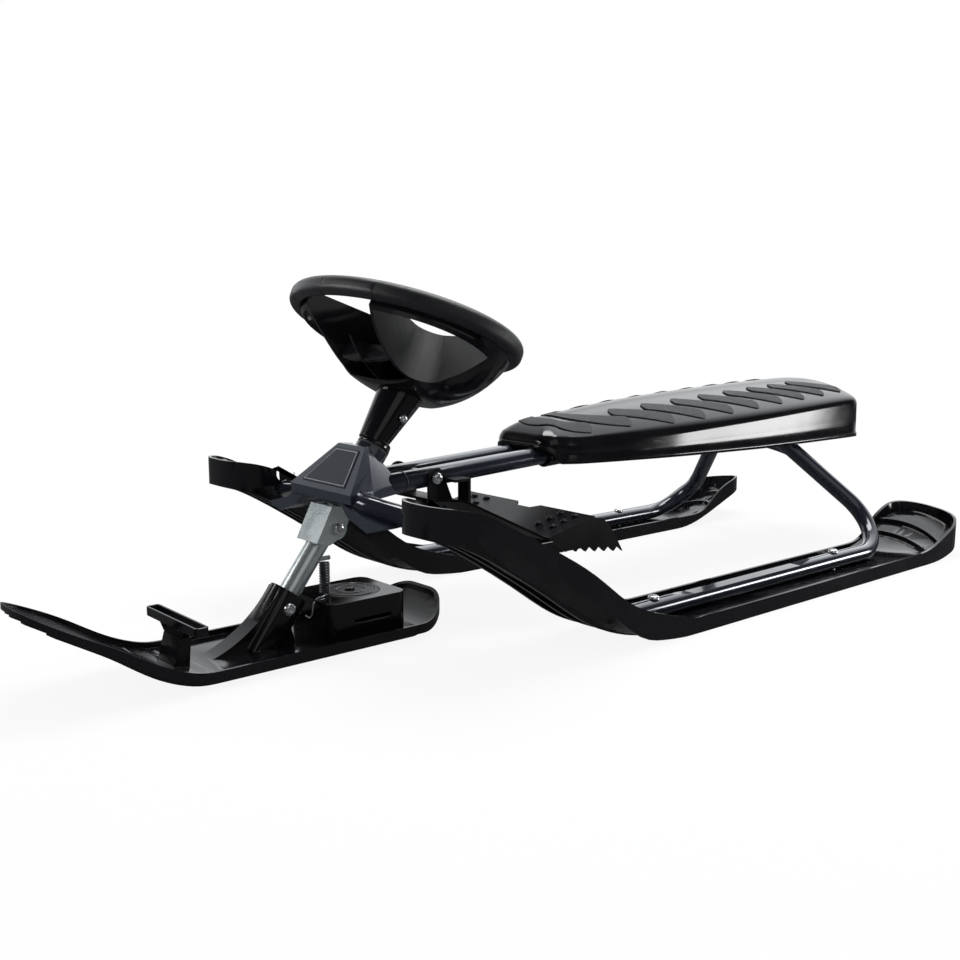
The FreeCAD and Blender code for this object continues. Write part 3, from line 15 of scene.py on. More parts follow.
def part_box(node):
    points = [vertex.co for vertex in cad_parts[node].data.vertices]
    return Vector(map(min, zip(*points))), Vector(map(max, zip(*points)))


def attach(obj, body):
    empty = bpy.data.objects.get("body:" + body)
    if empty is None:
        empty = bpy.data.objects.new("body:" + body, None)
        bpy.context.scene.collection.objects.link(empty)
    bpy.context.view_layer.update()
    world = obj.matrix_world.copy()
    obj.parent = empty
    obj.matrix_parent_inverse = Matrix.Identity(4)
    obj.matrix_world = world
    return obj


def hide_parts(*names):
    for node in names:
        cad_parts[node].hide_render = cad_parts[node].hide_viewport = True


LOG = logging.getLogger("steering_sled")
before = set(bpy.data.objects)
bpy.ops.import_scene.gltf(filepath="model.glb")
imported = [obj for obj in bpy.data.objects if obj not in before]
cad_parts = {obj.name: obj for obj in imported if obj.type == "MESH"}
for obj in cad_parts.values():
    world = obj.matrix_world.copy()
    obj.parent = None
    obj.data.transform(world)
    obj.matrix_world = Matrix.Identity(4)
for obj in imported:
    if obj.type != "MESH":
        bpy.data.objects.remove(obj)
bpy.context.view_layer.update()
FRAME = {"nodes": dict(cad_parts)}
MM = 0.001


class Side(Enum):
    """The two sides of the sled, as signs along X."""

    LEFT = 1.0
    RIGHT = -1.0


class Body(Enum):
    """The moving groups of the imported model."""

    FRAME = "frame"
    STEERING = "steering"
    FRONT_SKI = "front_ski"
    HANDLE = "handle"
    BRAKE = "brake"


class NodeSheet:
    """Adds nodes to one node tree and links them."""

    def __init__(self, tree: bpy.types.NodeTree) -> None:
        """Starts on an empty tree.

        Args:
            tree: The tree of a material, a world or a node group.
        """
        self.tree = tree
        tree.nodes.clear()

    def add(self, kind: str, sets: dict[Any, Any] | None = None, **props: Any) -> bpy.types.Node:
        """Adds one node.

        Args:
            kind: The node's Blender type.
            sets: Input name or index to a value or to the output socket that feeds it.
            **props: The node's own properties.

        Returns:
            The new node.
        """
        node = self.tree.nodes.new(kind)
        for name, value in props.items():
            setattr(node, name, value)
        for name, value in (sets or {}).items():
            if isinstance(value, bpy.types.NodeSocket):
                self.tree.links.new(value, node.inputs[name])
            else:
                node.inputs[name].default_value = value
        return node

    def ramp(self, source: bpy.types.NodeSocket, low: float, high: float, to_low: float,
             to_high: float) -> bpy.types.NodeSocket:
        """Maps a value from one range to another, clamped.

        Args:
            source: The value that comes in.
            low: Lower end of the incoming range.
            high: Upper end of the incoming range.
            to_low: What the lower end becomes.
            to_high: What the upper end becomes.

        Returns:
            The mapped value's socket.
        """
        sets = {0: source, 1: low, 2: high, 3: to_low, 4: to_high}
        return self.add("ShaderNodeMapRange", sets).outputs[0]

    def maths(self, operation: str, *values: Any) -> bpy.types.NodeSocket:
        """Works one value out from others.

        Args:
            operation: The sum's Blender name.
            *values: Numbers or output sockets, in order.

        Returns:
            The result's socket.
        """
        return self.add("ShaderNodeMath", dict(enumerate(values)), operation=operation).outputs[0]

    def blend(self, share: bpy.types.NodeSocket, first: Any, second: Sequence[float]) -> bpy.types.NodeSocket:
        """Mixes two colours by a mask.

        Args:
            share: The mask, where 1 gives the second colour.
            first: Colour at 0, or the socket that gives it.
            second: Colour at 1.

        Returns:
            The mixed colour's socket.
        """
        start = first if isinstance(first, bpy.types.NodeSocket) else (*first, 1.0)
        sets = {0: share, 6: start, 7: (*second, 1.0)}
        return self.add("ShaderNodeMix", sets, data_type="RGBA").outputs[2]


class SurfaceGroups:
    """Shader node groups that several finishes share."""

    def __init__(self) -> None:
        """Builds each group once."""
        self.cloud = self._cloud()
        self.grain = self._grain()
        self.scuffs = self._scuffs()

    @staticmethod
    def _new(name: str, inputs: Sequence[tuple[str, str, float]], outputs: Sequence[str]) -> tuple[Any, ...]:
        """Makes an empty group.

        Args:
            name: The group's name.
            inputs: Name, socket type and default of each input.
            outputs: Names of the value outputs.

        Returns:
            The group, its sheet, its input node and its output node.
        """
        group = bpy.data.node_groups.new(name, "ShaderNodeTree")
        for label, kind, default in inputs:
            socket = group.interface.new_socket(label, in_out="INPUT", socket_type=kind)
            if kind == "NodeSocketFloat":
                socket.default_value = default
        for label in outputs:
            group.interface.new_socket(label, in_out="OUTPUT", socket_type="NodeSocketFloat")
        sheet = NodeSheet(group)
        return group, sheet, sheet.add("NodeGroupInput"), sheet.add("NodeGroupOutput")

    def _cloud(self) -> bpy.types.NodeTree:
        """Soft uneven patches, for gloss and shade that vary over a surface.

        Returns:
            The group.
        """
        fields = [("Place", "NodeSocketVector", 0.0), ("Scale", "NodeSocketFloat", 20.0)]
        group, sheet, enter, leave = self._new("soft_cloud", fields, ["Mask"])
        broad = sheet.add("ShaderNodeTexNoise", {"Vector": enter.outputs[0], "Scale": enter.outputs[1],
                                                 "Detail": 5.0})
        mask = sheet.ramp(broad.outputs[0], 0.35, 0.65, 0.0, 1.0)
        sheet.tree.links.new(mask, leave.inputs[0])
        return group

    def _grain(self) -> bpy.types.NodeTree:
        """Pebbled grain, as moulded into grips and pads, with a mask of its pits for painted shade.

        Returns:
            The group.
        """
        fields = [("Place", "NodeSocketVector", 0.0), ("Scale", "NodeSocketFloat", 900.0)]
        group, sheet, enter, leave = self._new("pebble_grain", fields, ["Height", "Pits"])
        cells = sheet.add("ShaderNodeTexVoronoi", {"Vector": enter.outputs[0], "Scale": enter.outputs[1]},
                          feature="DISTANCE_TO_EDGE")
        fine = sheet.add("ShaderNodeTexNoise", {"Vector": enter.outputs[0], "Scale": enter.outputs[1],
                                                "Detail": 3.0})
        domes = sheet.ramp(cells.outputs[0], 0.0, 0.25, 0.0, 1.0)
        height = sheet.maths("MULTIPLY_ADD", fine.outputs[0], 0.5, domes)
        # Painted shade mask: the cell edges, where the pits between the grain's domes lie.
        pits = sheet.ramp(cells.outputs[0], 0.0, 0.08, 1.0, 0.0)
        sheet.tree.links.new(height, leave.inputs[0])
        sheet.tree.links.new(pits, leave.inputs[1])
        return group

    def _scuffs(self) -> bpy.types.NodeTree:
        """Sparse fine scratches along the sled.

        Returns:
            The group.
        """
        fields = [("Place", "NodeSocketVector", 0.0), ("Scale", "NodeSocketFloat", 40.0)]
        group, sheet, enter, leave = self._new("fine_scuffs", fields, ["Mask"])
        turn = sheet.add("ShaderNodeMapping", {"Vector": enter.outputs[0], "Rotation": (0.2, 0.1, 0.35),
                                               "Scale": (9.0, 0.35, 9.0)})
        lines = sheet.add("ShaderNodeTexNoise", {"Vector": turn.outputs[0], "Scale": enter.outputs[1],
                                                 "Detail": 2.0})
        spots = sheet.add("ShaderNodeTexNoise", {"Vector": enter.outputs[0], "Scale": 9.0, "Detail": 1.0})
        thin = sheet.ramp(lines.outputs[0], 0.66, 0.72, 0.0, 1.0)
        where = sheet.ramp(spots.outputs[0], 0.52, 0.66, 0.0, 1.0)
        sheet.tree.links.new(sheet.maths("MULTIPLY", thin, where), leave.inputs[0])
        return group


@dataclass(frozen=True)
class Finish:
    """One surface finish: a colour pair, gloss range, grain with painted shade in its pits, and scuffs."""

    name: str
    colour: tuple[float, float, float]
    second: tuple[float, float, float]
    gloss: tuple[float, float]
    metallic: float = 0.0
    specular: float = 0.5
    coat: float = 0.0
    cloud_scale: float = 18.0
    grain_scale: float = 0.0
    grain_depth: float = 0.0
    pits: float = 0.0
    scuff: float = 0.0
    flake: float = 0.0
    flake_scale: float = 1400.0
    flake_colour: tuple[float, float, float] = (0.5, 0.55, 0.65)
    coat_gloss: float = 0.06

    def material(self, groups: SurfaceGroups) -> bpy.types.Material:
        """Builds the finish as a node material.

        Args:
            groups: The shared surface effects.

        Returns:
            The material.
        """
        made = bpy.data.materials.new(self.name)
        made.use_nodes = True
        sheet = NodeSheet(made.node_tree)
        place = sheet.add("ShaderNodeTexCoord").outputs["Object"]
        cloud = sheet.add("ShaderNodeGroup", {0: place, 1: self.cloud_scale}, node_tree=groups.cloud)
        colour = sheet.blend(cloud.outputs[0], self.colour, self.second)
        rough = sheet.ramp(cloud.outputs[0], 0.0, 1.0, *self.gloss)
        if self.flake:
            specks = sheet.add("ShaderNodeTexVoronoi", {"Vector": place, "Scale": self.flake_scale})
            bright = sheet.maths("MULTIPLY", specks.outputs["Color"], self.flake)
            colour = sheet.blend(bright, colour, self.flake_colour)
        grain = None
        if self.grain_depth:
            grain = sheet.add("ShaderNodeGroup", {0: place, 1: self.grain_scale}, node_tree=groups.grain)
        # Painted shade: the pits between the grain's domes are darkened towards black.
        if grain and self.pits:
            pit_shade_share = sheet.maths("MULTIPLY", grain.outputs[1], self.pits)
            colour = sheet.blend(pit_shade_share, colour, (0.0, 0.0, 0.0))
        if self.scuff:
            scratch = sheet.add("ShaderNodeGroup", {0: place}, node_tree=groups.scuffs)
            rough = sheet.maths("MULTIPLY_ADD", scratch.outputs[0], self.scuff, rough)
        shader = sheet.add("ShaderNodeBsdfPrincipled", {
            "Base Color": colour, "Roughness": rough, "Metallic": self.metallic,
            "Specular IOR Level": self.specular, "Coat Weight": self.coat, "Coat Roughness": self.coat_gloss})
        if grain:
            bump = sheet.add("ShaderNodeBump", {"Strength": 1.0, "Distance": self.grain_depth,
                                                "Height": grain.outputs[0]})
            sheet.tree.links.new(bump.outputs[0], shader.inputs["Normal"])
        sheet.add("ShaderNodeOutputMaterial", {0: shader.outputs[0]})
        return made


class Finishes:
    """Every finish on the sled, by a plain name."""

    def __init__(self) -> None:
        """Builds the materials."""
        groups = SurfaceGroups()
        self.plastic = Finish(
            "gloss_black_moulding", (0.0035, 0.0035, 0.0045), (0.005, 0.005, 0.006), (0.10, 0.16),
            scuff=0.1).material(groups)
        self.satin = Finish(
            "satin_black_rim", (0.010, 0.010, 0.012), (0.013, 0.013, 0.015), (0.30, 0.36),
            grain_scale=1500.0, grain_depth=0.00003).material(groups)
        # The pads' grain carries painted shade in its pits.
        self.pad = Finish(
            "grained_pad", (0.040, 0.041, 0.045), (0.052, 0.053, 0.058), (0.5, 0.6),
            specular=0.4, grain_scale=420.0, grain_depth=0.0006, pits=0.8).material(groups)
        self.panel = Finish(
            "grained_panel", (0.004, 0.004, 0.005), (0.006, 0.006, 0.007), (0.34, 0.40),
            specular=0.2, grain_scale=700.0, grain_depth=0.0002).material(groups)
        self.paint = Finish(
            "slate_tube_paint", (0.017, 0.021, 0.031), (0.020, 0.024, 0.035), (0.16, 0.20),
            metallic=0.35, coat=1.0).material(groups)
        # Painted light: the tubes' slate paint made lighter for the hood and saddles, standing in for the
        # light on the hood's top front.
        self.hood = Finish(
            "slate_paint_lit_copy", (0.034, 0.042, 0.058), (0.039, 0.047, 0.064), (0.24, 0.28),
            metallic=0.4, coat=0.6, flake=0.005).material(groups)
        self.zinc = Finish(
            "bright_zinc_plate", (0.60, 0.66, 0.67), (0.68, 0.73, 0.74), (0.22, 0.27),
            metallic=0.85, cloud_scale=40.0).material(groups)
        self.bright = Finish(
            "bright_bolt", (0.74, 0.75, 0.77), (0.82, 0.83, 0.84), (0.14, 0.2),
            metallic=0.9, cloud_scale=200.0).material(groups)
        self.wire = Finish(
            "oiled_spring_wire", (0.10, 0.10, 0.11), (0.16, 0.16, 0.17), (0.28, 0.4),
            metallic=0.9, cloud_scale=250.0).material(groups)
        self.label = Finish(
            "plain_label_face", (0.016, 0.018, 0.023), (0.019, 0.021, 0.027), (0.3, 0.36),
            specular=0.4).material(groups)
        self.pale = Finish(
            "pale_print_line", (0.42, 0.44, 0.46), (0.5, 0.52, 0.54), (0.4, 0.5)).material(groups)
        self.grip = Finish(
            "soft_grip_rim", (0.008, 0.008, 0.010), (0.011, 0.011, 0.013), (0.36, 0.42),
            specular=0.45, grain_scale=1700.0, grain_depth=0.00005).material(groups)
        self.lid = Finish(
            "satin_black_lid", (0.008, 0.008, 0.010), (0.011, 0.011, 0.013), (0.26, 0.34),
            grain_scale=1200.0, grain_depth=0.00003).material(groups)
        self.weld = Finish(
            "painted_weld", (0.034, 0.040, 0.056), (0.050, 0.056, 0.072), (0.26, 0.4),
            metallic=0.4, coat=0.5, cloud_scale=160.0, grain_scale=320.0, grain_depth=0.0004).material(groups)
        self.bright_wire = Finish(
            "bright_spring_wire", (0.5, 0.51, 0.53), (0.6, 0.61, 0.63), (0.2, 0.3),
            metallic=0.9, cloud_scale=250.0).material(groups)
        self.brake = Finish(
            "gloss_black_brake", (0.004, 0.004, 0.005), (0.006, 0.006, 0.007), (0.3, 0.36),
            specular=0.1).material(groups)
        self.nylon = Finish(
            "dark_nylon_bush", (0.03, 0.03, 0.032), (0.04, 0.04, 0.042), (0.45, 0.55)).material(groups)


def dress(nodes: Iterable[str], finish: bpy.types.Material) -> None:
    """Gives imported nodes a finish.

    Args:
        nodes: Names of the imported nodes.
        finish: The material that they take.
    """
    for name in nodes:
        mesh = FRAME["nodes"][name].data
        mesh.materials.clear()
        mesh.materials.append(finish)


def node_names(*starts: str) -> list[str]:
    """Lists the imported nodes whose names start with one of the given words."""
    return [name for name in FRAME["nodes"] if name.startswith(starts)]


def merged_copy(node: str) -> bmesh.types.BMesh:
    """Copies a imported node's mesh and joins its loose triangles.

    Args:
        node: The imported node.

    Returns:
        The joined mesh.
    """
    bm = bmesh.new()
    bm.from_mesh(FRAME["nodes"][node].data)
    bmesh.ops.remove_doubles(bm, verts=bm.verts[:], dist=2e-6)
    bmesh.ops.dissolve_limit(bm, angle_limit=math.radians(0.6), verts=bm.verts[:], edges=bm.edges[:])
    return bm


def joined(parts: Iterable[bmesh.types.BMesh]) -> bmesh.types.BMesh:
    """Puts several worked meshes into one.

    Args:
        parts: The meshes, which are freed.

    Returns:
        The mesh of them all.
    """
    whole = bmesh.new()
    for part in parts:
        carrier = bpy.data.meshes.new("carrier")
        part.to_mesh(carrier)
        part.free()
        whole.from_mesh(carrier)
        bpy.data.meshes.remove(carrier)
    return whole


def lathe(profile: Sequence[tuple[float, float]], at: Sequence[float], along: Sequence[float],
          steps: int = 36) -> bmesh.types.BMesh:
    """Turns a profile round an axis.

    Args:
        profile: Radius and height of each point, in millimetres.
        at: Where the axis starts, in millimetres.
        along: The axis's direction.
        steps: How many steps make the full turn.

    Returns:
        The turned mesh.
    """
    bm = bmesh.new()
    points = [bm.verts.new((radius * MM, 0.0, height * MM)) for radius, height in profile]
    for first, second in zip(points, points[1:]):
        bm.edges.new((first, second))
    bmesh.ops.spin(bm, geom=bm.verts[:] + bm.edges[:], cent=(0.0, 0.0, 0.0), axis=(0.0, 0.0, 1.0),
                   dvec=(0.0, 0.0, 0.0), angle=math.tau, steps=steps, use_merge=True)
    bmesh.ops.remove_doubles(bm, verts=bm.verts[:], dist=1e-6)
    turn = Vector(along).to_track_quat("Z", "Y").to_matrix().to_4x4()
    bmesh.ops.transform(bm, matrix=Matrix.Translation(Vector(at) * MM) @ turn, verts=bm.verts[:])
    bmesh.ops.recalc_face_normals(bm, faces=bm.faces[:])
    return bm


def curved(share: float, start: Any, end: Any, leave: Any, reach: Any) -> Any:
    """Follows a smooth curve between two values or points.

    Args:
        share: How far to go along it, from 0 to 1.
        start: Where it starts.
        end: Where it ends.
        leave: Its slope at the start.
        reach: Its slope at the end.

    Returns:
        The value or point there.
    """
    square, cube = share * share, share ** 3
    return ((2 * cube - 3 * square + 1) * start + (cube - 2 * square + share) * leave
            + (3 * square - 2 * cube) * end + (cube - square) * reach)


def wire(points: Sequence[Sequence[float]], radius: float, closed: bool = False) -> bmesh.types.BMesh:
    """Bends a round wire along a smooth line.

    Args:
        points: The line's control points, in millimetres.
        radius: The wire's radius, in millimetres.
        closed: Whether the line runs back to its start.

    Returns:
        The wire's mesh.
    """
    line = bpy.data.curves.new("wire_line", "CURVE")
    line.dimensions = "3D"
    line.bevel_depth = radius * MM
    line.bevel_resolution = 2
    line.use_fill_caps = True
    spline = line.splines.new("NURBS")
    spline.points.add(len(points) - 1)
    for point, place in zip(spline.points, points):
        point.co = (*(Vector(place) * MM), 1.0)
    spline.use_cyclic_u = closed
    spline.use_endpoint_u = not closed
    spline.order_u = 3
    spline.resolution_u = 5
    holder = bpy.data.objects.new("wire_line", line)
    mesh = bpy.data.meshes.new_from_object(holder)
    bm = bmesh.new()
    bm.from_mesh(mesh)
    bmesh.ops.remove_doubles(bm, verts=bm.verts[:], dist=1e-6)
    bpy.data.objects.remove(holder)
    bpy.data.curves.remove(line)
    bpy.data.meshes.remove(mesh)
    return bm


@dataclass
class Maker:
    """Turns worked meshes into finished pieces that ride a body."""

    finishes: Finishes
    head_share: float = 0.55
    shank_share: float = 0.55
    head_profile: tuple[tuple[float, float], ...] = (
        (0.0, 0.35), (0.32, 0.35), (0.36, 0.96), (0.56, 1.0), (0.82, 0.8), (0.97, 0.42), (1.0, 0.0))
    nut_profile: tuple[tuple[float, float], ...] = (
        (0.0, 1.0), (0.97, 1.0), (0.97, 0.25), (0.86, 0.0), (0.0, 0.0))

    def piece(self, name: str, bm: bmesh.types.BMesh, body: Body, finishes: Sequence[bpy.types.Material],
              slot: str, stands_for: Sequence[str] = (), sharp: float = 32.0) -> bpy.types.Object:
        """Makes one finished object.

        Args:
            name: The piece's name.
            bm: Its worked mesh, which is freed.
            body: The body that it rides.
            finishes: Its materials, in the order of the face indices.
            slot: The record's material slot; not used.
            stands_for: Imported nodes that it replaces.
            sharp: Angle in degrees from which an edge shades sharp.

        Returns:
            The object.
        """
        bmesh.ops.recalc_face_normals(bm, faces=bm.faces[:])
        mesh = bpy.data.meshes.new(name)
        bm.to_mesh(mesh)
        bm.free()
        mesh.shade_smooth()
        mesh.set_sharp_from_angle(angle=math.radians(sharp))
        for finish in finishes:
            mesh.materials.append(finish)
        made = bpy.data.objects.new(name, mesh)
        bpy.context.scene.collection.objects.link(made)
        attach(made, body.value)
        if stands_for:
            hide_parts(*stands_for)
        LOG.info("piece %s: %d faces", name, len(mesh.polygons))
        return made

    @staticmethod
    def ease(made: bpy.types.Object, width: float, angle: float = 30.0) -> None:
        """Eases a piece's sharp edges.

        Args:
            made: The piece.
            width: How far the edges are eased, in millimetres.
            angle: Angle in degrees from which an edge is eased.
        """
        easing = made.modifiers.new("eased_edges", "BEVEL")
        easing.width = width * MM
        easing.segments = 2
        easing.limit_method = "ANGLE"
        easing.angle_limit = math.radians(angle)
        easing.harden_normals = True

    def eased(self, node: str, body: Body, finish: bpy.types.Material, slot: str, width: float,
              angle: float = 30.0) -> bpy.types.Object:
        """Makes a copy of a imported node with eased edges, in its place.

        Args:
            node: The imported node.
            body: The body that it rides.
            finish: Its material.
            slot: The record's material slot.
            width: How far the edges are eased, in millimetres.
            angle: Angle in degrees from which an edge is eased.

        Returns:
            The object.
        """
        made = self.piece(node + "_eased", merged_copy(node), body, [finish], slot, [node], sharp=angle)
        self.ease(made, width, angle)
        return made

    def bolt(self, node: str, body: Body, head: Vector, nut: bool = False) -> None:
        """Makes a button head bolt with a socket in place of a packed rod.

        Args:
            node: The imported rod.
            body: The body that it rides.
            head: The direction in which the head looks.
            nut: Whether the far end holds a nut.
        """
        low, high = (Vector(corner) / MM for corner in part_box(node))
        size = high - low
        long = abs(size.dot(head))
        radius = min(value for value in size if value > 1e-3) / 2
        rise, shank = self.head_share * radius, self.shank_share * radius
        start = (low + high) / 2 - head * long / 2
        top = long - rise
        outline = [(share * radius, top + up * rise) for share, up in self.head_profile]
        parts = [lathe([*outline, (shank, top), (shank, 0.0), (0.0, 0.0)], start, head)]
        if nut:
            hexagon = [(share * radius, up * rise) for share, up in self.nut_profile]
            parts.append(lathe(hexagon, start, head, steps=6))
        self.piece(node + "_turned", joined(parts), body, [self.finishes.bright], "bright_bolts", [node],
                   sharp=40.0)


@dataclass
class TubeFrame:
    """The bent tubes, the arched sheet behind and the weld beads between them."""

    maker: Maker
    rail_x: float = 20.0
    rail_low: tuple[float, float] = (-290.0, 155.0)
    rail_high: tuple[float, float] = (396.0, 188.0)
    tube_radius: float = 10.5
    bead_radius: float = 0.6
    bead_places: tuple[float, ...] = (-203.0,)
    bead_steps: int = 28
    bead_gap: float = 0.4
    bead_sway: float = 0.7
    bead_waves: int = 5

    def rail_z(self, y: float) -> float:
        """Height of the rails' middle line at a place along the sled."""
        share = (y - self.rail_low[0]) / (self.rail_high[0] - self.rail_low[0])
        return self.rail_low[1] + share * (self.rail_high[1] - self.rail_low[1])

    def build(self) -> None:
        """Dresses the tubes and adds what joins them."""
        finishes = self.maker.finishes
        dress(node_names("rail_", "front_leg_", "rear_leg_", "runner_"), finishes.paint)
        self.maker.eased("rear_gusset", Body.FRAME, finishes.paint, "tube_paint", 0.6)
        rings = [self._bead(side.value * self.rail_x, y) for side in Side for y in self.bead_places]
        self.maker.piece("rail_weld_beads", joined(rings), Body.FRAME, [finishes.weld], "tube_paint",
                         sharp=80.0)

    def _bead(self, x: float, y: float) -> bmesh.types.BMesh:
        """Lays one slightly uneven weld bead round a rail.

        Args:
            x: The rail's place across the sled.
            y: The bead's place along the sled.

        Returns:
            The bead's mesh.
        """
        turns = [math.tau * step / self.bead_steps for step in range(self.bead_steps)]
        radius = self.tube_radius + self.bead_gap
        ring = [(x + radius * math.cos(turn), y + self.bead_sway * math.sin(self.bead_waves * turn),
                 self.rail_z(y) + radius * math.sin(turn)) for turn in turns]
        return wire(ring, self.bead_radius, closed=True)


@dataclass
class SideSkis:
    """The two long skis under the runners, with their bolts."""

    maker: Maker
    edge: float = 1.0
    middle_x: float = 182.5
    hull_half: float = 28.0
    side_half: float = 40.0
    side_lift: float = 20.0
    wall_depth: float = 12.0
    lift_run: tuple[float, float, float, float] = (-309.0, -250.0, -130.0, -45.0)
    wall_top: tuple[tuple[float, float], ...] = (
        (-340.0, 172.0), (-309.0, 171.0), (-278.0, 166.0), (-237.0, 147.0), (-181.0, 117.0), (-127.0, 84.0),
        (-83.0, 52.0), (-38.0, 33.0))

    def build(self) -> None:
        """Shapes the skis and turns their bolts."""
        for side in Side:
            self._ski(side)
        for node in node_names("ski_bolt_"):
            self.maker.bolt(node, Body.FRAME, Vector((0.0, 0.0, 1.0)))

    def _top(self, y: float) -> float:
        """Finds the height of the wall's upper edge on the front curve.

        Args:
            y: The place along the sled, in millimetres.

        Returns:
            The height there, in millimetres.
        """
        for (y0, z0), (y1, z1) in zip(self.wall_top, self.wall_top[1:]):
            if y <= y1:
                return z0 + (z1 - z0) * (y - y0) / (y1 - y0)
        return self.wall_top[-1][1]

    def _lift(self, y: float) -> float:
        """Works out how much of the lift the hull's sides have on the front curve.

        Args:
            y: The place along the sled, in millimetres.

        Returns:
            The share of the lift there, from 0 to 1.
        """
        start, full, last, end = self.lift_run
        coming, going = (y - start) / (full - start), (end - y) / (end - last)
        share = min(1.0, max(0.0, coming)) * min(1.0, max(0.0, going))
        return share * share * (3.0 - 2.0 * share)

    def _ski(self, side: Side) -> None:
        """Raises the sides of the hull along the front curve, so that its keels stand below the walls.

        Args:
            side: The sled's side.
        """
        node = "ski_" + side.name.lower()
        bm = merged_copy(node)
        middle = self.middle_x * side.value
        for shift in (-self.hull_half, self.hull_half):
            bmesh.ops.bisect_plane(bm, geom=bm.verts[:] + bm.edges[:] + bm.faces[:],
                                   plane_co=((middle + shift) * MM, 0.0, 0.0), plane_no=(1.0, 0.0, 0.0))
        for vert in bm.verts:
            across, y, z = vert.co.x / MM - middle, vert.co.y / MM, vert.co.z / MM
            if abs(across) > self.side_half and y < self.lift_run[3] and z < self._top(y) - self.wall_depth:
                bmesh.ops.translate(bm, vec=(0.0, 0.0, self.side_lift * self._lift(y) * MM), verts=[vert])
        made = self.maker.piece(node + "_shaped", bm, Body.FRAME, [self.maker.finishes.plastic],
                                "black_plastic", [node])
        self.maker.ease(made, self.edge)


@dataclass
class SteeringHead:
    """The hood with its bare label plate, the saddles, the sleeve and its bushes."""

    maker: Maker
    border_inset: float = 2.4
    border_width: float = 0.8
    face_up: float = 0.3
    taper_start: tuple[float, float] = (34.0, 112.0)
    taper_rise: float = 0.30
    saddle_edge: float = 0.8
    axis_at: Vector = field(default_factory=lambda: Vector((0.0, -294.0, 104.5)))
    axis_way: Vector = field(default_factory=lambda: Vector((0.0, 0.608761, 0.793353)))
    bush_top: float = 114.0
    bush_profile: tuple[tuple[float, float], ...] = (
        (12.8, -2.0), (17.4, -2.0), (17.5, -1.0), (17.4, 0.0), (12.8, 0.0), (12.8, -2.0))
    foot_profile: tuple[tuple[float, float], ...] = (
        (12.8, 0.2), (17.0, 0.2), (17.4, 0.8), (17.2, 3.0), (16.4, 8.0), (15.4, 9.0), (12.8, 9.0),
        (12.8, 0.2))
    turned_steps: int = 48

    def build(self) -> None:
        """Builds each piece of the head."""
        finishes = self.maker.finishes
        dress(["head_tube"], finishes.paint)
        dress(["head_bush_low"], finishes.nylon)
        # Painted light: the hood takes the lighter copy of the tube paint.
        self.maker.eased("head_hood", Body.FRAME, finishes.hood, "tube_paint", 1.4)
        self._label()
        for side in Side:
            self._saddle(side)
        foot = self.axis_at + self.axis_way * self.bush_top
        ring = lathe(self.bush_profile, foot, self.axis_way, self.turned_steps)
        self.maker.piece("bush_ring", ring, Body.FRAME, [finishes.nylon], "bush_plastic", ["head_bush_high"])
        skirt = lathe(self.foot_profile, foot, self.axis_way, self.turned_steps)
        self.maker.piece("neck_foot", skirt, Body.STEERING, [finishes.plastic], "black_plastic", sharp=50.0)

    def _label(self) -> None:
        """Gives the plate a thin pale border round a bare face."""
        bm = merged_copy("head_label_plate")
        face = max((one for one in bm.faces if one.normal.z > self.face_up), key=lambda one: one.calc_area())
        bmesh.ops.inset_individual(bm, faces=[face], thickness=self.border_inset * MM)
        ring = bmesh.ops.inset_individual(bm, faces=[face], thickness=self.border_width * MM)
        for one in ring["faces"]:
            one.material_index = 1
        face.material_index = 0
        finishes = self.maker.finishes
        self.maker.piece("label_plate_bordered", bm, Body.FRAME, [finishes.label, finishes.pale],
                         "label_plate", ["head_label_plate"])

    def _saddle(self, side: Side) -> None:
        """Tapers a saddle towards the ski, as a pressed plate is.

        Args:
            side: The sled's side.
        """
        node = "head_saddle_" + side.name.lower()
        bm = merged_copy(node)
        slope = Vector((self.taper_rise * -side.value, 0.0, 1.0)).normalized()
        start = Vector((self.taper_start[0] * side.value, 0.0, self.taper_start[1])) * MM
        cut = bmesh.ops.bisect_plane(bm, geom=bm.verts[:] + bm.edges[:] + bm.faces[:], plane_co=start,
                                     plane_no=slope, clear_inner=True)
        rim = [part for part in cut["geom_cut"] if isinstance(part, bmesh.types.BMEdge)]
        bmesh.ops.holes_fill(bm, edges=rim)
        # Painted light: the saddle takes the lighter copy of the tube paint.
        made = self.maker.piece(node + "_tapered", bm, Body.FRAME, [self.maker.finishes.hood], "tube_paint",
                                [node])
        self.maker.ease(made, self.saddle_edge)


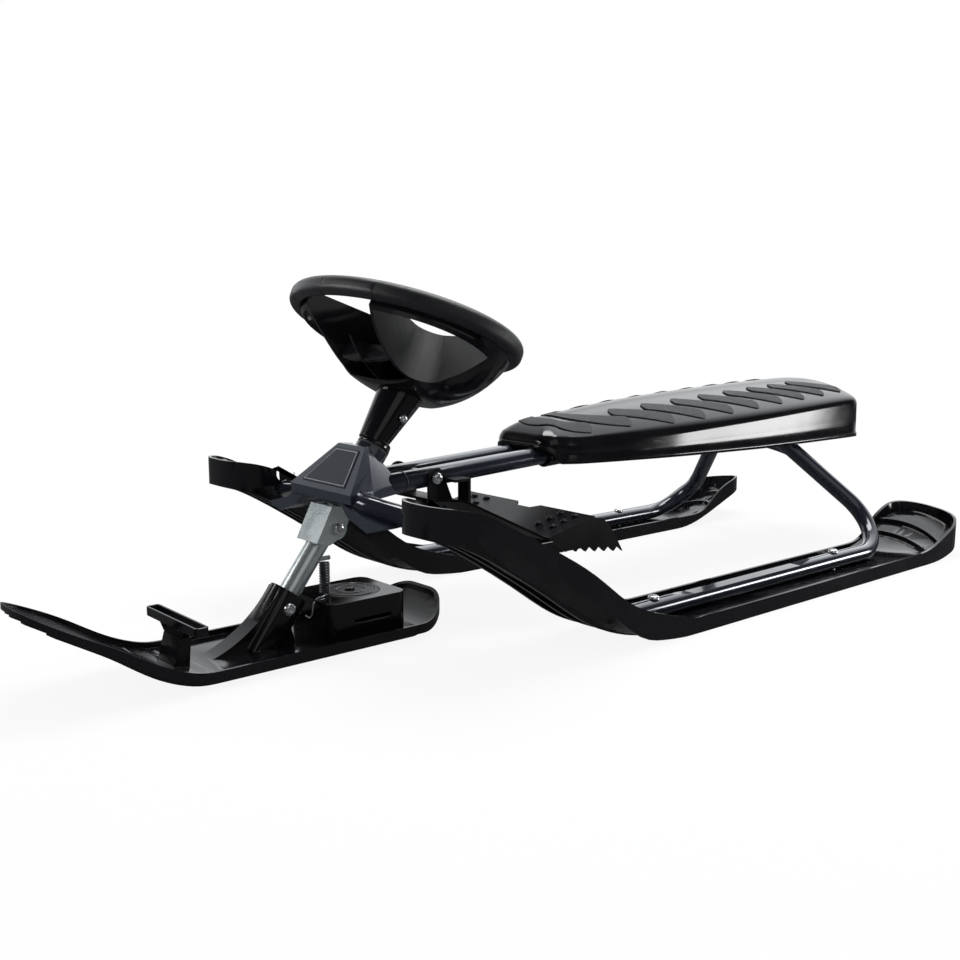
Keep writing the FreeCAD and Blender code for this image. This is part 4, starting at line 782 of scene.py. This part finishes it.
@dataclass
class SteeringWheel:
    """The oval rim with its grips, the grained hub and the neck screw, on the column."""

    maker: Maker
    centre: tuple[float, float, float] = (0.0, -184.0, 318.0)
    tilt: float = 25.0
    half_width: float = 141.0
    half_depth: float = 101.0
    grip_turn: float = 29.0
    groove_half: float = 0.9
    groove_depth: float = 0.10
    groove_reach: float = 45.0
    panel_top: float = -6.0
    panel_floor: float = -45.0
    panel_up: float = 0.3
    pocket_from: float = 30.0
    pocket_edge: float = 28.0
    hub_edge: float = 1.2

    def _flat(self, point: Vector) -> Vector:
        """Turns a point of the sled into the wheel's frame: across, rearwards in its plane, up from it."""
        turn = Matrix.Rotation(math.radians(self.tilt), 3, "X")
        return turn @ (point / MM - Vector(self.centre))

    def _real(self, flat: Vector) -> Vector:
        """Turns a point of the wheel's own frame into one of the sled."""
        turn = Matrix.Rotation(math.radians(-self.tilt), 3, "X")
        return (turn @ flat + Vector(self.centre)) * MM

    def build(self) -> None:
        """Builds the wheel and dresses the column."""
        dress(["column"], self.maker.finishes.zinc)
        self._rim()
        self._hub()
        self.maker.bolt("wheel_screw", Body.STEERING, Vector((1.0, 0.0, 0.0)))

    def _rim(self) -> None:
        """Cuts the grips' end grooves and the front seam into the rim."""
        bm = merged_copy("wheel_rim")
        for turn in (-90.0, -90.0 + self.grip_turn, -90.0 - self.grip_turn):
            self._groove(bm, math.radians(turn))
        for face in bm.faces:
            flat = self._flat(face.calc_center_median())
            turn = math.degrees(math.atan2(flat.y / self.half_depth, flat.x / self.half_width))
            face.material_index = 0 if abs(turn + 90.0) < self.grip_turn else 1
        finishes = self.maker.finishes
        self.maker.piece("wheel_rim_gripped", bm, Body.STEERING, [finishes.satin, finishes.grip], "rim_grip",
                         ["wheel_rim"], sharp=50.0)

    def _near(self, bm: bmesh.types.BMesh, middle: Vector) -> list[bmesh.types.BMFace]:
        """Lists the rim's faces within a groove's reach."""
        return [face for face in bm.faces
                if (self._flat(face.calc_center_median()) - middle).length < self.groove_reach]

    def _groove(self, bm: bmesh.types.BMesh, turn: float) -> None:
        """Sinks one narrow groove round the rim's section.

        Args:
            bm: The rim's mesh.
            turn: The groove's place round the oval, in radians.
        """
        middle = Vector((self.half_width * math.cos(turn), self.half_depth * math.sin(turn), 0.0))
        way = Vector((-self.half_width * math.sin(turn), self.half_depth * math.cos(turn), 0.0)).normalized()
        axis = (self._real(way) - self._real(Vector())).normalized()
        for shift in (-self.groove_half, 0.0, self.groove_half):
            around = {part for face in self._near(bm, middle) for part in (face, *face.edges, *face.verts)}
            cut = bmesh.ops.bisect_plane(bm, geom=list(around), plane_co=self._real(middle + way * shift),
                                         plane_no=axis)
            if shift == 0.0:
                sunk = [part for part in cut["geom_cut"] if isinstance(part, bmesh.types.BMVert)]
        share = 1.0 - self.groove_depth
        bmesh.ops.scale(bm, vec=(share, share, share), space=Matrix.Translation(-self._real(middle)),
                        verts=sunk)

    def _grain(self, seed: bmesh.types.BMFace) -> None:
        """Gives the grained finish to a face and to all that join it without a sharp edge.

        Args:
            seed: The face to start from.
        """
        seed.material_index = 1
        reached = [seed]
        while reached:
            for edge in reached.pop().edges:
                if len(edge.link_faces) != 2 or edge.calc_face_angle() > math.radians(self.pocket_edge):
                    continue
                fresh = [face for face in edge.link_faces if face.material_index == 0]
                for face in fresh:
                    face.material_index = 1
                reached += fresh

    def _hub(self) -> None:
        """Gives the hub's finger pockets their grain and eases its lips."""
        bm = merged_copy("wheel_hub")
        up = (self._real(Vector((0.0, 0.0, 1.0))) - self._real(Vector())).normalized()
        for side in Side:
            inside = [face for face in bm.faces if face.normal.dot(up) > self.panel_up
                      and self.panel_floor < self._flat(face.calc_center_median()).z < self.panel_top
                      and self._flat(face.calc_center_median()).x * side.value > self.pocket_from]
            self._grain(max(inside, key=lambda face: face.calc_area()))
        finishes = self.maker.finishes
        made = self.maker.piece("wheel_hub_grained", bm, Body.STEERING, [finishes.plastic, finishes.panel],
                                "black_plastic", ["wheel_hub"], sharp=30.0)
        self.maker.ease(made, self.hub_edge)


@dataclass
class SteeringLeg:
    """The zinc clevis and leg that turn the front ski."""

    maker: Maker

    def build(self) -> None:
        """Dresses the leg, eases the clevis and turns its bolt."""
        dress(["fork_leg"], self.maker.finishes.zinc)
        self.maker.eased("clevis", Body.STEERING, self.maker.finishes.zinc, "zinc", 1.0)
        self.maker.bolt("clevis_bolt", Body.STEERING, Vector((1.0, 0.0, 0.0)), nut=True)


@dataclass
class FrontSki:
    """The front ski with its leg socket, the rope winder, the return spring and the tow handle."""

    maker: Maker
    lid_middle: tuple[float, float] = (0.0, -256.0)
    lid_top: float = 49.0
    lid_rings: tuple[float, ...] = (26.0, 15.0)
    ring_profile: tuple[tuple[float, float], ...] = (
        (-0.9, -0.4), (-0.6, 0.35), (0.0, 0.6), (0.6, 0.35), (0.9, -0.4), (-0.9, -0.4))
    ring_steps: int = 72
    boss_profile: tuple[tuple[float, float], ...] = (
        (0.0, 0.3), (2.4, 0.3), (2.8, 1.0), (5.4, 1.2), (6.2, 0.7), (6.5, -0.4), (0.0, -0.4))
    boss_steps: int = 48
    hook_wire: float = 0.9
    hook_path: tuple[tuple[float, float, float], ...] = (
        (4.6, -287.0, 50.2), (7.0, -290.0, 50.6), (9.0, -297.0, 50.4), (10.0, -304.0, 49.0),
        (10.2, -308.0, 44.0), (10.2, -308.6, 36.0), (9.0, -309.5, 31.0), (6.6, -311.5, 30.4),
        (5.4, -313.5, 33.0))

    def build(self) -> None:
        """Builds each piece on the front ski."""
        finishes = self.maker.finishes
        self.maker.eased("front_ski", Body.FRONT_SKI, finishes.plastic, "black_plastic", 1.0)
        self.maker.eased("winder_housing", Body.FRONT_SKI, finishes.plastic, "black_plastic", 1.8)
        self.maker.eased("tow_handle", Body.HANDLE, finishes.plastic, "black_plastic", 1.2)
        self.maker.bolt("pivot_bolt", Body.FRONT_SKI, Vector((1.0, 0.0, 0.0)), nut=True)
        dress(["winder_reel"], finishes.plastic)
        dress(["winder_axle"], finishes.bright)
        dress(["ski_spring", "winder_spring"], finishes.wire)
        self._lid()
        self._hooks()

    def _lid(self) -> None:
        """Adds raised rings and a middle boss to the winder's lid."""
        at = (*self.lid_middle, self.lid_top)
        up = (0.0, 0.0, 1.0)
        rings = [lathe([(radius + out, z) for out, z in self.ring_profile], at, up, self.ring_steps)
                 for radius in self.lid_rings]
        boss = lathe(self.boss_profile, at, up, self.boss_steps)
        finishes = self.maker.finishes
        self.maker.piece("winder_lid_rings", joined([*rings, boss]), Body.FRONT_SKI, [finishes.plastic],
                         "black_plastic")
        self.maker.eased("winder_lid", Body.FRONT_SKI, finishes.lid, "black_plastic", 0.5)

    def _hooks(self) -> None:
        """Bends the hooked wire end below the return spring."""
        foot = wire(self.hook_path, self.hook_wire)
        self.maker.piece("spring_hook", foot, Body.FRONT_SKI, [self.maker.finishes.bright], "spring_steel",
                         sharp=60.0)


class Level(Enum):
    """What a ring of the seat's wall is measured from."""

    RIM = "rim"
    MIDDLE = "middle"
    SHOULDER = "shoulder"


@dataclass(frozen=True)
class SeatRow:
    """The seat's section at one place along the sled, in millimetres."""

    y: float
    half: float
    rim: float
    shoulder: float
    crest: float


@dataclass
class Seat:
    """The crowned seat shell with its lip, grip pads, rail collars, clamps and screws."""

    maker: Maker
    frame: TubeFrame
    rows: tuple[SeatRow, ...] = (
        SeatRow(-18.0, 34.0, 177.5, 189.5, 192.0), SeatRow(-8.0, 42.0, 170.0, 189.5, 198.0),
        SeatRow(2.0, 49.0, 161.0, 188.0, 203.0), SeatRow(26.0, 56.0, 160.0, 185.5, 209.0),
        SeatRow(80.0, 66.0, 159.0, 186.0, 215.0), SeatRow(180.0, 78.0, 157.0, 190.0, 222.5),
        SeatRow(330.0, 86.0, 154.0, 196.0, 228.5), SeatRow(470.0, 88.0, 153.0, 202.0, 231.5),
        SeatRow(540.0, 87.5, 152.5, 204.5, 231.0), SeatRow(571.0, 85.0, 152.0, 203.0, 227.0))
    front_round: float = 20.0
    rear_round: float = 34.0
    ridge: tuple[float, float] = (34.0, 515.0)
    crown_power: float = 2.2
    skin: float = 2.6
    wall: tuple[tuple[float, Level, float], ...] = (
        (-1.3, Level.RIM, 0.0), (-1.3, Level.RIM, 4.0), (-0.6, Level.RIM, 5.2), (0.0, Level.RIM, 5.8),
        (0.2, Level.MIDDLE, 0.5), (0.5, Level.SHOULDER, -6.0), (0.9, Level.SHOULDER, -3.6),
        (1.6, Level.SHOULDER, -1.6), (3.0, Level.SHOULDER, 0.8))
    lip_ring: int = 3
    shoulder_ring: int = 5
    crown: tuple[float, ...] = (0.93, 0.88, 0.8, 0.7, 0.6, 0.5, 0.4, 0.3, 0.2, 0.1, 0.0)
    plan_steps: tuple[int, int, int, int, int] = (5, 8, 48, 10, 6)
    pad_middles: tuple[tuple[float, float], ...] = (
        (47.0, 138.0), (51.0, 192.0), (52.5, 246.0), (53.0, 299.0), (52.5, 351.0), (52.0, 402.0),
        (51.0, 450.0), (48.5, 495.0))
    pad_long: float = 86.0
    pad_half: float = 7.4
    pad_turn: float = 66.0
    front_arches: tuple[tuple[tuple[float, float], ...], ...] = (
        ((0.0, 6.0), (18.0, 9.0), (34.0, 22.0), (46.0, 52.0)),
        ((0.0, 36.0), (20.0, 44.0), (38.0, 72.0), (53.0, 112.0)))
    pad_proud: float = 1.6
    pad_skin: float = 3.0
    pad_edge: float = 0.8
    pad_sharp: float = 45.0
    pad_steps: int = 24
    arch_steps: int = 40
    pad_rows: int = 8
    tip_share: float = 0.999
    ray_from: float = 400.0
    collar_y: tuple[float, float] = (-2.0, 26.0)
    collar_radius: float = 12.6
    collar_gap: float = 0.3
    collar_end: float = 27.0
    rib_count: int = 4
    rib_pitch: float = 7.0
    rib_section: tuple[tuple[float, float], ...] = ((0.0, 0.0), (1.6, 1.2), (1.6, 4.4), (0.0, 5.6))
    collar_steps: int = 40

    def build(self) -> None:
        """Builds each piece of the seat."""
        finishes = self.maker.finishes
        bm = self._shell()
        top = BVHTree.FromBMesh(bm)
        shell = self.maker.piece("seat_shell_crowned", bm, Body.FRAME, [finishes.plastic], "black_plastic",
                                 ["seat_shell"], sharp=45.0)
        self._thicken(shell, self.skin)
        pads = self.maker.piece("seat_pads_shaped", self._pads(top), Body.FRAME, [finishes.pad], "grip_pad",
                                ["seat_pads"], sharp=self.pad_sharp)
        self._thicken(pads, self.pad_skin)
        self.maker.ease(pads, self.pad_edge, self.pad_sharp)
        for node in node_names("seat_clamp_"):
            self.maker.eased(node, Body.FRAME, finishes.paint, "tube_paint", 0.6)
        for node in node_names("seat_screw_"):
            self.maker.bolt(node, Body.FRAME, Vector((0.0, 0.0, -1.0)))
        collars = [self._collar(side) for side in Side]
        self.maker.piece("rail_collars", joined(collars), Body.FRAME, [finishes.plastic], "black_plastic",
                         sharp=60.0)

    @staticmethod
    def _thicken(made: bpy.types.Object, skin: float) -> None:
        """Gives an open skin its thickness, inwards.

        Args:
            made: The piece.
            skin: The thickness, in millimetres.
        """
        thick = made.modifiers.new("skin", "SOLIDIFY")
        thick.thickness = skin * MM
        thick.offset = -1.0

    def _at(self, y: float) -> SeatRow:
        """Works out the section at any place along the sled.

        Args:
            y: The place, in millimetres.

        Returns:
            The section there.
        """
        last = len(self.rows) - 1
        step = max([index for index in range(last) if self.rows[index].y <= y], default=0)
        low, high = self.rows[step], self.rows[step + 1]
        share = min(1.0, max(0.0, (y - low.y) / (high.y - low.y)))
        rim = low.rim + share * (high.rim - low.rim)
        return SeatRow(y, *[self._eased(name, step, share) if name != "rim" else rim
                            for name in ("half", "rim", "shoulder", "crest")])

    def _eased(self, name: str, step: int, share: float) -> float:
        """Blends one size smoothly between two rows.

        Args:
            name: The size's name.
            step: The row before the place.
            share: How far the place is on the way to the next row.

        Returns:
            The size there.
        """
        last = len(self.rows) - 1
        near = [self.rows[min(max(index, 0), last)] for index in range(step - 1, step + 3)]
        sizes = [getattr(row, name) for row in near]
        span = near[2].y - near[1].y
        leave = span * (sizes[2] - sizes[0]) / (near[2].y - near[0].y)
        reach = span * (sizes[3] - sizes[1]) / (near[3].y - near[1].y)
        return curved(share, sizes[1], sizes[2], leave, reach)

    def _outline(self) -> list[Vector]:
        """Draws the seat's plan, from the middle of its front round to the same place.

        Returns:
            The plan's points, in millimetres.
        """
        front, rear = self.rows[0].y, self.rows[-1].y
        turn_in, turn_out = front + self.front_round, rear - self.rear_round
        nose = self._at(turn_in).half - self.front_round
        tail = self._at(turn_out).half - self.rear_round
        nose_steps, turn_steps, side_steps, back_steps, tail_steps = self.plan_steps
        half = [Vector((nose * step / nose_steps, front)) for step in range(nose_steps)]
        for step in range(turn_steps + 1):
            turn = math.radians(90.0 * step / turn_steps)
            half.append(Vector((nose + self.front_round * math.sin(turn),
                                turn_in - self.front_round * math.cos(turn))))
        for step in range(1, side_steps):
            y = turn_in + (turn_out - turn_in) * step / side_steps
            half.append(Vector((self._at(y).half, y)))
        for step in range(back_steps + 1):
            turn = math.radians(90.0 * step / back_steps)
            half.append(Vector((tail + self.rear_round * math.cos(turn),
                                turn_out + self.rear_round * math.sin(turn))))
        half += [Vector((tail * (1 - step / tail_steps), rear)) for step in range(1, tail_steps + 1)]
        return half + [Vector((-point.x, point.y)) for point in half[-2:0:-1]]

    def _ring(self, line: Sequence[Vector], ring: int) -> list[Vector]:
        """Places one ring of the shell, from the lip up the wall and over the crown.

        Args:
            line: The plan's points.
            ring: The ring's number.

        Returns:
            The ring's points, in millimetres.
        """
        places = []
        for point in line:
            row = self._at(point.y)
            spine = Vector((0.0, min(max(point.y, self.ridge[0]), self.ridge[1])))
            out = point - spine
            if ring < len(self.wall):
                inset, level, rise = self.wall[ring]
                low = row.rim + self.wall[self.lip_ring][2]
                high = row.shoulder + self.wall[self.shoulder_ring][2]
                heights = {Level.RIM: min(row.rim + rise, high), Level.MIDDLE: low + (high - low) * rise,
                           Level.SHOULDER: row.shoulder + rise}
                flat, z = spine + out * (1.0 - inset / out.length), heights[level]
            else:
                share = self.crown[ring - len(self.wall)]
                crest = self._at(spine.y).crest
                flat, z = spine + out * share, crest - (crest - row.shoulder) * share ** self.crown_power
            places.append(Vector((flat.x, flat.y, z)))
        return places

    def _shell(self) -> bmesh.types.BMesh:
        """Shapes the shell's outer skin from a rolled-up grid.

        Returns:
            The skin's mesh.
        """
        line = self._outline()
        across, up = len(line), len(self.wall) + len(self.crown) - 1
        bm = bmesh.new()
        bmesh.ops.create_grid(bm, x_segments=across, y_segments=up, size=1.0)
        rings = [self._ring(line, ring) for ring in range(up + 1)]
        for vert in bm.verts:
            step, ring = round((vert.co.x + 1.0) / 2 * across), round((vert.co.y + 1.0) / 2 * up)
            vert.co = rings[ring][step % across] * MM
        bmesh.ops.remove_doubles(bm, verts=bm.verts[:], dist=1e-6)
        bmesh.ops.recalc_face_normals(bm, faces=bm.faces[:])
        return bm

    def _pads(self, top: BVHTree) -> bmesh.types.BMesh:
        """Lays the grip pads on the shell.

        Args:
            top: The shell's skin.

        Returns:
            The mesh of all the pads.
        """
        bands = []
        reach = self.pad_long / 2
        turn = math.radians(self.pad_turn)
        for side in Side:
            for x, y in self.pad_middles:
                way = Vector((math.cos(turn), math.sin(turn))) * reach
                ends = [Vector((x, y)) - way, Vector((x, y)) + way]
                bands.append(self._band([Vector((end.x * side.value, end.y)) for end in ends], top))
        for arch in self.front_arches:
            near = [Vector(point) for point in arch]
            far = [Vector((-point.x, point.y)) for point in near[:0:-1]]
            bands.append(self._band(far + near, top))
        return joined(bands)

    def _band(self, path: Sequence[Vector], top: BVHTree) -> bmesh.types.BMesh:
        """Lays one round-ended pad along a path on the shell.

        Args:
            path: The pad's middle line from tip to tip, in millimetres.
            top: The shell's skin.

        Returns:
            The pad's mesh.
        """
        runs = [(second - first).length for first, second in zip(path, path[1:])]
        whole = sum(runs)
        bm = bmesh.new()
        steps = self.arch_steps if len(path) > 2 else self.pad_steps
        bmesh.ops.create_grid(bm, x_segments=steps, y_segments=self.pad_rows, size=1.0)
        for vert in bm.verts:
            along = whole / 2 * (1.0 + math.sin(vert.co.x * math.pi / 2) * self.tip_share)
            past = max(0.0, abs(along - whole / 2) - (whole / 2 - self.pad_half))
            width = math.sqrt(self.pad_half ** 2 - past ** 2) * vert.co.y
            place, way = self._walk(path, runs, along)
            flat = place + Vector((-way.y, way.x)) * width
            found = top.ray_cast(Vector((flat.x, flat.y, self.ray_from)) * MM, Vector((0.0, 0.0, -1.0)))[0]
            vert.co = found + Vector((0.0, 0.0, self.pad_proud * MM))
        if sum(face.normal.z for face in bm.faces) < 0.0:
            bmesh.ops.reverse_faces(bm, faces=bm.faces[:])
        return bm

    @staticmethod
    def _walk(path: Sequence[Vector], runs: Sequence[float], along: float) -> tuple[Vector, Vector]:
        """Finds a place on a path, with its corners smoothed.

        Args:
            path: The path's points.
            runs: The length of each run between them.
            along: How far to walk, in millimetres.

        Returns:
            The place and the direction of the path there.
        """
        step = 0
        while step < len(runs) - 1 and along > runs[step]:
            along -= runs[step]
            step += 1
        share = along / runs[step]
        near = [path[min(max(index, 0), len(path) - 1)] for index in range(step - 1, step + 3)]
        leave, reach = (near[2] - near[0]) / 2, (near[3] - near[1]) / 2
        place = curved(share, near[1], near[2], leave, reach)
        square = share * share
        way = ((6 * square - 6 * share) * (near[1] - near[2]) + (3 * square - 4 * share + 1) * leave
               + (3 * square - 2 * share) * reach)
        return place, way.normalized()

    def _collar(self, side: Side) -> bmesh.types.BMesh:
        """Turns the ribbed collar where a rail goes into the seat.

        Args:
            side: The sled's side.

        Returns:
            The collar's mesh.
        """
        start, end = self.collar_y
        low = Vector((side.value * self.frame.rail_x, start, self.frame.rail_z(start)))
        high = Vector((side.value * self.frame.rail_x, end, self.frame.rail_z(end)))
        inner = self.frame.tube_radius + self.collar_gap
        ribs = [(self.collar_radius + out, self.rib_pitch * step + along)
                for step in range(self.rib_count) for out, along in self.rib_section]
        profile = [(inner, 0.0), *ribs, (inner, self.collar_end), (inner, 0.0)]
        return lathe(profile, low, high - low, self.collar_steps)


@dataclass
class FootBrake:
    """The bent brake sheet on its pivot bolt, with the return spring."""

    maker: Maker

    def build(self) -> None:
        """Eases the sheet, turns the bolt and dresses the spring."""
        self.maker.eased("brake_plate", Body.BRAKE, self.maker.finishes.brake, "brake_black", 0.7)
        self.maker.bolt("brake_bolt", Body.FRAME, Vector((1.0, 0.0, 0.0)), nut=True)
        dress(["brake_spring"], self.maker.finishes.bright_wire)


@dataclass(frozen=True)
class Lamp:
    """One soft panel: where it hangs and faces, in metres, its two sizes and its watts."""

    name: str
    place: tuple[float, float, float]
    aim: tuple[float, float, float]
    width: float
    depth: float
    power: float


@dataclass
class Studio:
    """The floor, the lamps, the backdrop colour and the camera."""

    target: tuple[float, float, float] = (0.0, -0.07838, 0.14533)
    azimuth: float = 49.36
    elevation: float = 9.30
    distance: float = 1.2946
    lens: float = 43.19
    sensor: float = 36.0
    lamps: tuple[Lamp, ...] = (
        Lamp("top_panel", (-0.1, 0.3, 1.6), (0.0, 0.1, 0.1), 1.5, 0.6, 22.0),
        Lamp("near_panel", (1.6, -0.3, 1.0), (0.0, 0.0, 0.15), 2.0, 1.2, 3.0),
        Lamp("low_panel", (0.98, 1.28, 0.15), (0.09, 0.4, 0.18), 0.56, 0.26, 6.0),
        Lamp("front_panel", (-0.9, -1.6, 0.9), (0.0, -0.2, 0.15), 0.9, 0.5, 9.0))
    floor_half: float = 6.0
    floor_colour: tuple[float, float, float, float] = (0.9, 0.9, 0.9, 1.0)
    white: tuple[float, float, float, float] = (1.0, 1.0, 1.0, 1.0)
    cool: tuple[float, float, float, float] = (0.96, 0.98, 1.0, 1.0)
    soft_colour: tuple[float, float, float, float] = (0.9, 0.95, 1.0, 1.0)
    floor_white: float = 0.9
    floor_fade: tuple[float, float] = (0.65, 1.15)
    floor_mirrored: float = 0.1
    soft_level: float = 0.45
    dim_level: float = 0.03
    backdrop_way: tuple[float, float, float] = (-0.76, 0.65, 0.05)
    backdrop_fade: tuple[float, float] = (0.3, 0.8)
    backdrop_level: float = 0.95
    sheen_way: tuple[float, float, float] = (-0.2, 0.65, 0.73)
    sheen_fade: tuple[float, float] = (0.8, 0.96)
    sheen_level: float = 1.6

    def build(self) -> None:
        """Sets the whole studio up."""
        bpy.context.scene.view_settings.view_transform = "Standard"
        self._floor()
        self._world()
        for lamp in self.lamps:
            self._lamp(lamp)
        self._camera()

    def _floor(self) -> None:
        """Lays a pale floor that stays white to the camera, keeps a soft shadow and is dim in mirrors."""
        bm = bmesh.new()
        bmesh.ops.create_grid(bm, x_segments=1, y_segments=1, size=self.floor_half)
        mesh = bpy.data.meshes.new("floor")
        bm.to_mesh(mesh)
        bm.free()
        floor = bpy.data.objects.new("floor", mesh)
        bpy.context.scene.collection.objects.link(floor)
        made = bpy.data.materials.new("pale_floor")
        made.use_nodes = True
        sheet = NodeSheet(made.node_tree)
        place = sheet.add("ShaderNodeTexCoord").outputs["Object"]
        far = sheet.add("ShaderNodeVectorMath", {0: place}, operation="LENGTH").outputs["Value"]
        paths = sheet.add("ShaderNodeLightPath")
        white = sheet.ramp(far, *self.floor_fade, self.floor_white, 1.0)
        share = sheet.maths("MULTIPLY", paths.outputs["Is Camera Ray"], white)
        matt = sheet.add("ShaderNodeBsdfDiffuse", {"Color": self.floor_colour})
        glow = sheet.add("ShaderNodeEmission", {"Color": self.white, "Strength": 1.0})
        seen = sheet.add("ShaderNodeMixShader", {0: share, 1: matt.outputs[0], 2: glow.outputs[0]})
        mirrored = sheet.add("ShaderNodeEmission", {"Color": self.cool, "Strength": self.floor_mirrored})
        both = sheet.add("ShaderNodeMixShader", {0: paths.outputs["Is Glossy Ray"], 1: seen.outputs[0],
                                                 2: mirrored.outputs[0]})
        sheet.add("ShaderNodeOutputMaterial", {0: both.outputs[0]})
        mesh.materials.append(made)

    def _world(self) -> None:
        """Makes the backdrop white to the camera, two bright patches in mirrors and soft light elsewhere."""
        world = bpy.data.worlds.new("studio")
        bpy.context.scene.world = world
        world.use_nodes = True
        sheet = NodeSheet(world.node_tree)
        paths = sheet.add("ShaderNodeLightPath")
        seen = sheet.maths("MAXIMUM", paths.outputs["Is Camera Ray"], paths.outputs["Is Transmission Ray"])
        way = sheet.add("ShaderNodeTexCoord").outputs["Generated"]
        behind = self._patch(sheet, way, self.backdrop_way, self.backdrop_fade, self.backdrop_level)
        above = self._patch(sheet, way, self.sheen_way, self.sheen_fade, self.sheen_level)
        level = sheet.maths("ADD", sheet.maths("ADD", behind, above), self.dim_level)
        soft = sheet.add("ShaderNodeBackground", {"Color": self.soft_colour, "Strength": self.soft_level})
        studio = sheet.add("ShaderNodeBackground", {"Color": self.cool, "Strength": level})
        white = sheet.add("ShaderNodeBackground", {"Color": self.white, "Strength": 1.0})
        lit = sheet.add("ShaderNodeMixShader", {0: paths.outputs["Is Glossy Ray"], 1: soft.outputs[0],
                                                2: studio.outputs[0]})
        both = sheet.add("ShaderNodeMixShader", {0: seen, 1: lit.outputs[0], 2: white.outputs[0]})
        sheet.add("ShaderNodeOutputWorld", {0: both.outputs[0]})

    @staticmethod
    def _patch(sheet: NodeSheet, way: bpy.types.NodeSocket, aim: Sequence[float], fade: tuple[float, float],
               level: float) -> bpy.types.NodeSocket:
        """Lights one soft round patch of the studio's walls.

        Args:
            sheet: The world's nodes.
            way: The direction that is looked up.
            aim: The patch's direction.
            fade: Cosines at which the patch starts and is full.
            level: Its brightness.

        Returns:
            The brightness socket.
        """
        near = sheet.add("ShaderNodeVectorMath", {0: way, 1: Vector(aim).normalized()},
                         operation="DOT_PRODUCT")
        return sheet.ramp(near.outputs["Value"], *fade, 0.0, level)

    @staticmethod
    def _hang(holder: bpy.types.Object, place: Vector, way: Vector) -> None:
        """Puts a lamp or the camera in the studio.

        Args:
            holder: The lamp's or camera's object.
            place: Where it goes, in metres.
            way: The direction in which it looks.
        """
        holder.matrix_world = Matrix.Translation(place) @ way.to_track_quat("-Z", "Y").to_matrix().to_4x4()
        bpy.context.scene.collection.objects.link(holder)

    def _lamp(self, lamp: Lamp) -> None:
        """Adds one soft panel.

        Args:
            lamp: The panel's sizes.
        """
        light = bpy.data.lights.new(lamp.name, "AREA")
        light.shape = "RECTANGLE"
        light.size = lamp.width
        light.size_y = lamp.depth
        light.energy = lamp.power
        holder = bpy.data.objects.new(lamp.name, light)
        self._hang(holder, Vector(lamp.place), Vector(lamp.aim) - Vector(lamp.place))

    def _camera(self) -> None:
        """Puts the camera at the photograph's viewing angle."""
        lens = bpy.data.cameras.new("photo_camera")
        lens.lens = self.lens
        lens.sensor_width = self.sensor
        holder = bpy.data.objects.new("photo_camera", lens)
        turn, rise = math.radians(self.azimuth), math.radians(self.elevation)
        back = Vector((math.sin(turn) * math.cos(rise), -math.cos(turn) * math.cos(rise), math.sin(rise)))
        self._hang(holder, Vector(self.target) + back * self.distance, -back)
        bpy.context.scene.camera = holder


def main() -> None:
    """Builds the studio and the sled's sub-assemblies in order."""
    logging.basicConfig(level=logging.INFO, format="%(message)s")
    Studio().build()
    maker = Maker(Finishes())
    tubes = TubeFrame(maker)
    for assembly in (tubes, SideSkis(maker), SteeringHead(maker), SteeringWheel(maker), SteeringLeg(maker),
                     FrontSki(maker), Seat(maker, tubes), FootBrake(maker)):
        assembly.build()
        LOG.info("built %s", type(assembly).__name__)


if __name__ == "__main__":
    main()
